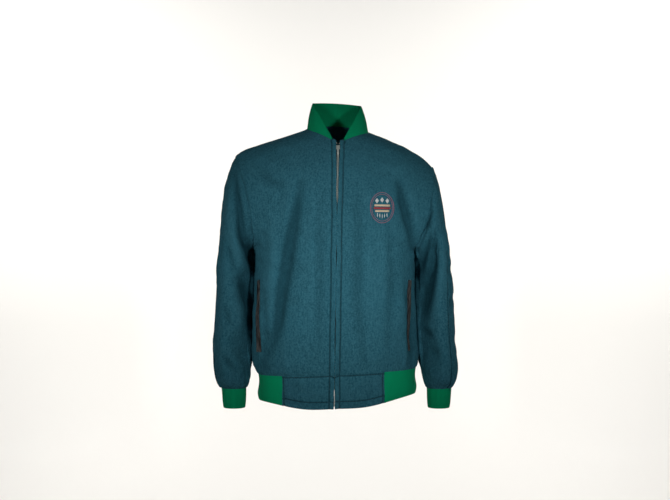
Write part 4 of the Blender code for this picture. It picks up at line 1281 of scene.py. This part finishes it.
    def surface(self) -> BVHTree:
        """Search tree of the pressed outer skin."""
        return BVHTree.FromPolygons([Vector(p) for p in self.points], [tuple(int(k) for k in f)
                                                                      for f in self.outer_faces])

    def register(self, extras: Sequence[bpy.types.Object]) -> None:
        """Attach the piece to the jacket and hide its imported node.

        Args:
            extras: separate pieces that lie on it; not used.
        """
        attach(self.thing, "jacket")
        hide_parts(self.name)


# ---------------------------------------------------------------- stitching

@dataclass
class StitchRow:
    """Stitch places of one line on the unpressed cloth, with the corners of the faces that they lie in."""

    starts: list[Vector]
    corners: list[np.ndarray]

    def carried(self, cloth: Cloth, values: np.ndarray) -> np.ndarray:
        """Mean of values at the corners round each stitch, nearer corners counting more.

        Args:
            cloth: the piece.
            values: a vector for each of its points.

        Returns:
            A vector for each stitch.
        """
        corners = np.array(self.corners)
        away = np.linalg.norm(cloth.start[corners] - np.array(self.starts)[:, None, :], axis=2)
        shares = 1.0 / (away + 0.05 * MM) ** 2
        return np.einsum("ij,ijk->ik", shares / shares.sum(axis=1)[:, None], values[corners])


@dataclass
class Stitching:
    """Topstitch threads that lie in the pressed lines of a cloth piece."""

    material: bpy.types.Material
    pitch: float = 3.4 * MM
    length: float = 2.7 * MM
    thickness: float = 0.55 * MM
    sunk: float = 0.35 * MM

    def mark(self, cloth: Cloth) -> list["StitchRow"]:
        """Find the places of a piece's stitches before it is pressed.

        Args:
            cloth: the piece.

        Returns:
            A row for each of its sewn lines.
        """
        surface, rows = cloth.surface(), []
        for sewn in SEWN_LINES:
            run = cloth.run(sewn.seam, sewn.line) if cloth.name.startswith(sewn.on) else []
            if len(run) > 3:
                rows.append(self._row(cloth, run, STITCH_INSET[sewn.line], surface))
        return rows

    def _row(self, cloth: Cloth, run: list[int], inset: float, surface: BVHTree) -> "StitchRow":
        """Places of one line's stitches.

        Args:
            cloth: the piece.
            run: border points in order.
            inset: distance from the border.
            surface: the piece's outer skin.

        Returns:
            The row.
        """
        border = cloth.points[run]
        length = length_along(border)
        stations = np.arange(self.pitch, length[-1] - self.pitch / 2, self.pitch)
        spots = np.stack([np.interp(stations, length, border[:, k]) for k in range(3)], axis=1)
        outward = np.stack([np.interp(stations, length, cloth.outward[run][:, k]) for k in range(3)], axis=1)
        row = StitchRow([], [])
        middle = Vector(cloth.points[cloth.outer].mean(axis=0))
        for k, spot in enumerate(spots):
            ahead = Vector(spots[min(k + 2, len(spots) - 1)] - spots[max(k - 2, 0)]).normalized()
            inward = ahead.cross(Vector(outward[k])).normalized()
            if inward.dot(middle - Vector(spot)) < 0:
                inward.negate()
            place, _, face, _ = surface.find_nearest(Vector(spot) + inward * inset)
            if k and (place - last).length < 0.6 * self.pitch:
                continue
            last = place
            row.corners.append(cloth.outer_faces[face])
            row.starts.append(place)
        return row

    def build(self, cloth: Cloth, rows: Sequence[StitchRow]) -> list[bpy.types.Object]:
        """Make a piece's stitches.

        Args:
            cloth: the pressed piece.
            rows: its marked rows.

        Returns:
            One object, or none where nothing is topstitched.
        """
        if not rows:
            return []
        mesh = bmesh.new()
        for row in rows:
            places = np.array(row.starts) + row.carried(cloth, cloth.points - cloth.start)
            normals = row.carried(cloth, cloth.outward)
            ways = np.gradient(places, axis=0)
            for place, way, out in zip(places, ways, normals):
                normal = Vector(out).normalized()
                side = normal.cross(Vector(way)).normalized()
                turn = Matrix((side, side.cross(normal), normal)).transposed().to_4x4()
                size = Matrix.Diagonal((self.thickness / 2, self.length / 2, self.thickness / 2, 1.0))
                where = Matrix.Translation(Vector(place) + normal * (self.thickness / 2 - self.sunk))
                bmesh.ops.create_icosphere(mesh, subdivisions=1, radius=1.0, matrix=where @ turn @ size)
        smoothed(mesh)
        thing = placed("stitches_" + cloth.name, mesh, self.material)
        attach(thing, "jacket")
        return [thing]


# ---------------------------------------------------------------- zip

@dataclass
class Zip:
    """Metal teeth on each tape, and softened copies of the slider, pull, pins and box."""

    metal: bpy.types.Material
    tape: bpy.types.Material
    tooth_pitch: float = 2.5 * MM
    tooth_height: float = 1.25 * MM
    tooth_depth: float = 2.1 * MM
    overlap: float = 0.35 * MM
    bevel: float = 0.28 * MM

    def build(self, nodes: dict[str, bpy.types.Object]) -> None:
        """Dress the zip's nodes.

        Args:
            nodes: the frame's nodes by name.
        """
        for side in Side:
            nodes["zip_tape_" + side.word].data.materials.clear()
            nodes["zip_tape_" + side.word].data.materials.append(self.tape)
            for part in ("zip_teeth_", "zip_teeth_open_"):
                self._teeth(nodes[part + side.word], side)
            self._softened(nodes["zip_pin_" + side.word], 0.4 * MM)
        self._softened(nodes["zip_slider"], 0.45 * MM)
        self._softened(nodes["zip_box"], 0.35 * MM)
        self._softened(nodes["zip_pull"], 0.25 * MM, "pull")
        nodes["zip_bail"].data.materials.clear()
        nodes["zip_bail"].data.materials.append(self.metal)
        log.info("zip dressed")

    def _softened(self, node: bpy.types.Object, bevel: float, body: str = "jacket") -> None:
        """Replace a metal node by a copy with rounded edges.

        Args:
            node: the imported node.
            bevel: width of the rounding.
            body: what it rides on.
        """
        thing = placed(node.name + "_round", rounded_copy(node, bevel), self.metal)
        stand_for(node, thing, body)

    def _centres(self, node: bpy.types.Object) -> np.ndarray:
        """Sections of a row of teeth, from bottom to top.

        Args:
            node: the bar that stands for the row.

        Returns:
            Four corners for each section.
        """
        bar = merged_copy(node)
        corners = np.array([vert.co for vert in bar.verts])
        bar.free()
        key = corners[:, 2]
        for _ in range(3):
            corners = corners[np.argsort(key)]
            centres = corners.reshape(-1, 4, 3).mean(axis=1)
            runs = np.gradient(centres, axis=0)
            runs /= np.linalg.norm(runs, axis=1)[:, None]
            group = np.clip(np.arange(len(corners)) // 4, 0, len(centres) - 1)
            steps = length_along(centres)
            key = steps[group] + np.einsum("ij,ij->i", corners - centres[group], runs[group])
        return corners.reshape(-1, 4, 3)

    def _teeth(self, node: bpy.types.Object, side: Side) -> None:
        """Replace a bar by its row of teeth.

        Args:
            node: the bar.
            side: the wearer's side that it is on.
        """
        sections = self._centres(node)
        centres = sections.mean(axis=1)
        length = length_along(centres)
        offset = 0.25 if side is Side.LEFT else 0.75
        mesh = bmesh.new()
        for at in np.arange(offset * self.tooth_pitch, length[-1] - 0.2 * self.tooth_pitch, self.tooth_pitch):
            middle = Vector([np.interp(at, length, centres[:, k]) for k in range(3)])
            beside = max(int(np.searchsorted(length, at)) - 1, 0)
            upward = Vector(centres[min(beside + 1, len(centres) - 1)] - centres[beside]).normalized()
            spread = sections[beside] - sections[beside].mean(axis=0)
            across = Vector(spread[np.argsort(spread[:, 0])[2:]].mean(axis=0)).normalized()
            outward = across.cross(upward).normalized()
            across = upward.cross(outward)
            width = 2.0 * abs(float(np.array(across) @ spread.T @ np.sign(np.array(across) @ spread.T))) / 4
            half = width / 2 + self.overlap / 2
            shift = across * (-side.value * self.overlap / 2)
            turn = Matrix((across, outward, upward)).transposed().to_4x4()
            size = Matrix.Diagonal((2 * half, self.tooth_depth, self.tooth_height, 1.0))
            where = Matrix.Translation(middle + shift)
            made = bmesh.ops.create_cube(mesh, size=1.0, matrix=where @ turn @ size)
            edges = list({edge for vert in made["verts"] for edge in vert.link_edges})
            bmesh.ops.bevel(mesh, geom=edges, offset=self.bevel, segments=1, profile=0.5, affect="EDGES",
                            material=-1)
        stand_for(node, placed(node.name + "_row", mesh, self.metal))


# ---------------------------------------------------------------- pockets

@dataclass
class Pocket:
    """Piped slit pocket: two rounded leather lips, and the bar tacks at its ends."""

    leather: bpy.types.Material
    thread: bpy.types.Material
    rounding: float = 0.55 * MM
    tack_length: float = 11.0 * MM
    tack_threads: int = 5
    thread_width: float = 0.6 * MM
    tack_lift: float = 0.75 * MM
    lip_end: float = 2 * MM

    def build(self, side: Side, nodes: dict[str, bpy.types.Object], cloth: Cloth) -> list[bpy.types.Object]:
        """Dress one pocket.

        Args:
            side: the wearer's side that it is on.
            nodes: the frame's nodes by name.
            cloth: the pressed front that it is in.

        Returns:
            Its pieces.
        """
        pieces, ends = [], []
        for lip in ("front", "side"):
            node = nodes["pocket_lip_" + lip + "_" + side.word]
            mesh = rounded_copy(node, self.rounding)
            shifts = cloth.carry(np.array([vert.co for vert in mesh.verts]))
            for vert, shift in zip(mesh.verts, shifts):
                vert.co += Vector(shift)
            thing = placed(node.name + "_piping", mesh, self.leather)
            stand_for(node, thing)
            pieces.append(thing)
            corners = np.array([vert.co for vert in thing.data.vertices])
            ends.append([corners[corners[:, 2] > corners[:, 2].max() - self.lip_end].mean(axis=0),
                         corners[corners[:, 2] < corners[:, 2].min() + self.lip_end].mean(axis=0)])
        mesh = bmesh.new()
        for k in range(2):
            middle = Vector((ends[0][k] + ends[1][k]) / 2)
            across = Vector(ends[1][k] - ends[0][k]).normalized()
            down = Vector((ends[0][1] - ends[0][0])).normalized()
            outward = across.cross(down).normalized()
            if outward.y > 0:
                outward.negate()
            for n in range(self.tack_threads):
                step = self.thread_width * (n - self.tack_threads // 2)
                shift = down * step * (1 if k == 0 else -1) + outward * self.tack_lift
                turn = Matrix((across, down, outward)).transposed().to_4x4()
                half = self.thread_width / 2
                size = Matrix.Diagonal((self.tack_length / 2, half, half, 1.0))
                bmesh.ops.create_icosphere(mesh, subdivisions=2, radius=1.0,
                                           matrix=Matrix.Translation(middle + shift) @ turn @ size)
        smoothed(mesh)
        tacks = placed("pocket_tacks_" + side.word, mesh, self.thread)
        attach(tacks, "jacket")
        log.info("pocket %s dressed", side.word)
        return pieces + [tacks]


# ---------------------------------------------------------------- badge

@dataclass
class Badge:
    """Small embroidered badge on the left chest: an oval cord round bars, lozenges and short strokes."""

    centre: tuple[float, float] = (0.1105, -0.1985)
    half_width: float = 0.0285
    half_height: float = 0.0365
    cord: float = 1.3 * MM
    lift: float = 0.20 * MM
    bar_depth: float = 1.3 * MM
    bar_height: float = 4.6 * MM
    bars_cream: tuple[tuple[float, float], ...] = ((0.0052, 0.038), (-0.0082, 0.034))
    bar_red: tuple[tuple[float, float], ...] = ((-0.0015, 0.041),)

    def build(self, cloth: Cloth) -> list[bpy.types.Object]:
        """Embroider the badge on a front.

        Args:
            cloth: the front that it is on.

        Returns:
            Its pieces.
        """
        surface = cloth.surface()
        pink = Thread("thread_pink", (0.330, 0.095, 0.150), lie=(1.0, 0.0, 1.0)).build()
        cream = Thread("thread_cream", (0.720, 0.560, 0.380), lie=(0.3, 0.0, 1.0)).build()
        red = Thread("thread_red", (0.340, 0.030, 0.040), lie=(0.3, 0.0, 1.0)).build()
        white = Thread("thread_white", (0.700, 0.700, 0.680), lie=(1.0, 0.0, 0.6)).build()
        pieces = [
            self._wrapped("badge_cords", self._cords(), surface, pink),
            self._wrapped("badge_bars_cream", self._bars(self.bars_cream), surface, cream),
            self._wrapped("badge_bar_red", self._bars(self.bar_red), surface, red),
            self._wrapped("badge_lozenges", self._lozenges(), surface, white),
        ]
        for piece in pieces:
            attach(piece, "jacket")
        log.info("badge embroidered")
        return pieces

    def _cords(self) -> bmesh.types.BMesh:
        """Two oval cords, one inside the other, flat in XZ."""
        mesh = bmesh.new()
        for share in (1.0, 0.88):
            thickness = self.cord if share == 1.0 else 0.7 * self.cord
            ring = bmesh.ops.create_circle(mesh, segments=8, radius=thickness / 2,
                                           matrix=Matrix.Translation((1.0, 0.0, 0.0)))["verts"]
            edges = list({edge for vert in ring for edge in vert.link_edges})
            bmesh.ops.spin(mesh, geom=ring + edges, cent=(0, 0, 0), axis=(0, 1, 0), angle=math.tau,
                           steps=72, use_merge=True)
            for vert in mesh.verts:
                if vert.co.x ** 2 + vert.co.z ** 2 > 0.5:
                    radius = math.hypot(vert.co.x, vert.co.z)
                    over = radius - 1.0
                    way = Vector((vert.co.x / radius, 0.0, vert.co.z / radius))
                    vert.co.x = way.x * (self.half_width * share + over)
                    vert.co.z = way.z * (self.half_height * share + over)
        bmesh.ops.recalc_face_normals(mesh, faces=mesh.faces)
        return mesh

    def _bars(self, rows: Sequence[tuple[float, float]]) -> bmesh.types.BMesh:
        """Satin bars.

        Args:
            rows: (height, length) of each bar.

        Returns:
            Their flat shapes.
        """
        mesh = bmesh.new()
        for height, length in rows:
            size = Matrix.Diagonal((length, self.bar_depth, self.bar_height, 1.0))
            where = Matrix.Translation((0.0, 0.0, height))
            made = bmesh.ops.create_cube(mesh, size=1.0, matrix=where @ size)["verts"]
            corners = list({edge for vert in made for edge in vert.link_edges
                            if abs(edge.verts[0].co.y - edge.verts[1].co.y) > 0.5 * MM})
            bmesh.ops.bevel(mesh, geom=corners, offset=1.6 * MM, segments=4, profile=0.5, affect="EDGES",
                            material=-1)
        bmesh.ops.subdivide_edges(mesh, edges=[e for e in mesh.edges if e.calc_length() > 0.008], cuts=9,
                                  use_grid_fill=True)
        return mesh

    def _lozenges(self) -> bmesh.types.BMesh:
        """Three lozenges above the bars and five short strokes below them."""
        mesh = bmesh.new()
        for k in (-1, 0, 1):
            where = Matrix.Translation((k * 0.0125, 0.0, 0.0185 - abs(k) * 0.0020))
            size = Matrix.Diagonal((4.6 * MM, 0.5 * MM, 6.4 * MM, 1.0))
            turn = Matrix.Rotation(math.radians(90), 4, "X")
            bmesh.ops.create_uvsphere(mesh, u_segments=4, v_segments=6, radius=1.0,
                                      matrix=where @ size @ turn)
        for k in (-2, -1, 0, 1, 2):
            where = Matrix.Translation((k * 0.0058, 0.0, -0.0205 + abs(k) * 0.0014))
            size = Matrix.Diagonal((0.9 * MM, 0.5 * MM, 5.2 * MM, 1.0))
            bmesh.ops.create_icosphere(mesh, subdivisions=2, radius=1.0, matrix=where @ size)
        return mesh

    def _wrapped(self, name: str, mesh: bmesh.types.BMesh, surface: BVHTree,
                 material: bpy.types.Material) -> bpy.types.Object:
        """Lay a flat shape on the cloth.

        Args:
            name: the piece's name.
            mesh: shape about the badge's middle, with -Y outwards.
            surface: the cloth's outer skin.
            material: its thread.

        Returns:
            The piece.
        """
        for vert in mesh.verts:
            start = Vector((self.centre[0] + vert.co.x, -0.5, self.centre[1] + vert.co.z))
            place, normal, _, _ = surface.ray_cast(start, Vector((0.0, 1.0, 0.0)))
            vert.co = place + normal * (self.lift - vert.co.y)
        smoothed(mesh)
        return placed(name, mesh, material)


# ---------------------------------------------------------------- studio

@dataclass
class Studio:
    """Pale floor with a curved backdrop, soft lights and the camera."""

    distance: float = 3.0
    camera_x: float = -0.0025
    camera_z: float = -0.30
    frame_width: float = 1.675
    sensor: float = 36.0
    floor_z: float = -1.55
    wall_y: float = 2.6
    wall_top: float = 4.0
    half_width: float = 6.0
    bend: float = 0.9
    bend_steps: int = 8

    def build(self) -> None:
        """Make the studio."""
        self._backdrop()
        self._light("from_right", (1.40, -2.50, 0.00), (0.10, -0.10, -0.33), (0.20, 0.60), 18.0, 0.68)
        self._light("from_left", (-1.35, -2.50, 0.00), (-0.10, -0.10, -0.33), (0.20, 0.60), 18.0, 0.60)
        self._light("wall_left", (-2.2, 0.9, 0.9), (-0.6, 2.6, -0.2), (1.6, 1.6), 110.0, 30.0)
        self._light("wall_right", (2.2, 0.9, 0.9), (0.6, 2.6, -0.2), (1.6, 1.6), 110.0, 30.0)
        world = bpy.data.worlds.new("studio_air")
        world.use_nodes = True
        world.node_tree.nodes["Background"].inputs["Color"].default_value = (1.0, 0.985, 0.96, 1.0)
        world.node_tree.nodes["Background"].inputs["Strength"].default_value = 0.055
        bpy.context.scene.world = world
        bpy.context.scene.view_settings.view_transform = "Standard"
        data = bpy.data.cameras.new("view")
        data.sensor_width = self.sensor
        data.lens = self.sensor * self.distance / self.frame_width
        camera = bpy.data.objects.new("view", data)
        camera.location = (self.camera_x, -self.distance, self.camera_z)
        camera.rotation_euler = (math.radians(90), 0.0, 0.0)
        bpy.context.scene.collection.objects.link(camera)
        bpy.context.scene.camera = camera
        log.info("studio built")

    def _backdrop(self) -> None:
        """Floor and wall in one curved sheet."""
        mesh = bmesh.new()
        left, middle = -self.half_width, (self.wall_y - self.bend, self.floor_z + self.bend)
        profile = [mesh.verts.new((left, -self.half_width, self.floor_z))]
        for k in range(self.bend_steps + 1):
            turn = math.pi / 2 * k / self.bend_steps
            profile.append(mesh.verts.new((left, middle[0] + self.bend * math.sin(turn),
                                           middle[1] - self.bend * math.cos(turn))))
        profile.append(mesh.verts.new((left, self.wall_y, self.wall_top)))
        edges = [mesh.edges.new(pair) for pair in zip(profile, profile[1:])]
        grown = bmesh.ops.extrude_edge_only(mesh, edges=edges)["geom"]
        far_side = [part for part in grown if isinstance(part, bmesh.types.BMVert)]
        bmesh.ops.translate(mesh, vec=(2 * self.half_width, 0.0, 0.0), verts=far_side)
        smoothed(mesh)
        placed("backdrop", mesh, Pale().build())

    def _light(self, name: str, place: Sequence[float], aim: Sequence[float], size: Sequence[float],
               spread: float, power: float) -> None:
        """Add a soft area light.

        Args:
            name: light name.
            place: where it stands.
            aim: where it points.
            size: width and height of its face.
            spread: full angle of its beam in degrees.
            power: watts.
        """
        data = bpy.data.lights.new(name, "AREA")
        data.shape = "RECTANGLE"
        data.energy, data.spread = power, math.radians(spread)
        data.size, data.size_y = size
        lamp = bpy.data.objects.new(name, data)
        lamp.location = place
        lamp.rotation_euler = (Vector(aim) - Vector(place)).to_track_quat("-Z", "Y").to_euler()
        bpy.context.scene.collection.objects.link(lamp)


# ---------------------------------------------------------------- the jacket


def body_surface(cloths: Sequence[Cloth], lips: Sequence[bpy.types.Object]) -> BVHTree:
    """Outer surface that the arms are sewn to and rest against.

    Args:
        cloths: pressed pieces of the body.
        lips: pocket lips.

    Returns:
        Their search tree.
    """
    points: list[Vector] = []
    faces: list[list[int]] = []
    for cloth in cloths:
        start = len(points)
        points += [Vector(point) for point in cloth.points]
        faces += [[start + int(k) for k in face] for face in cloth.outer_faces]
    for lip in lips:
        start = len(points)
        points += [vert.co.copy() for vert in lip.data.vertices]
        faces += [[start + k for k in polygon.vertices] for polygon in lip.data.polygons]
    return BVHTree.FromPolygons(points, faces)


def main() -> None:
    """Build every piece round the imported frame."""
    logging.basicConfig(level=logging.INFO, format="%(name)s: %(message)s")
    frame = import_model()
    nodes = frame["nodes"]
    wool, rib = Wool().build(), Rib().build()
    thread = Thread("thread_teal", (0.016, 0.066, 0.082)).build()
    cloths = [Cloth(cut, nodes[cut.node], rib if cut.held == "stretched" else wool) for cut in CUTS]
    named = {cloth.name: cloth for cloth in cloths}
    for cloth in cloths:
        cloth.meet(cloths)
    for cloth, shift in [(cloth, cloth.seam_shift(cloths)) for cloth in cloths]:
        cloth.sew(shift)
    stitching = Stitching(thread)
    rows = {cloth.name: stitching.mark(cloth) for cloth in cloths}
    for cloth in cloths:
        cloth.press()
        if cloth.cut.held == "stretched":
            cloth.lay_rib()
    pocket = Pocket(Leather().build(), thread)
    pockets = {"front_" + side.word: pocket.build(side, nodes, named["front_" + side.word]) for side in Side}
    body = body_surface([cloth for cloth in cloths if cloth.name.startswith(("front", "back"))],
                        [piece for lips in pockets.values() for piece in lips if "piping" in piece.name])
    extras: dict[str, list[bpy.types.Object]] = {}
    for cloth in cloths:
        if cloth.name.startswith("sleeve"):
            cloth.tuck(body)
            cloth.rest(body)
        extras[cloth.name] = stitching.build(cloth, rows[cloth.name])
        log.info("%s: %d points", cloth.name, len(cloth.points))
    for name, pieces in pockets.items():
        extras[name] += pieces
    extras["front_left"] += Badge().build(named["front_left"])
    Zip(Metal().build(), Tape().build()).build(nodes)
    for cloth in cloths:
        cloth.register(extras[cloth.name])
    Studio().build()


if __name__ == "__main__":
    main()
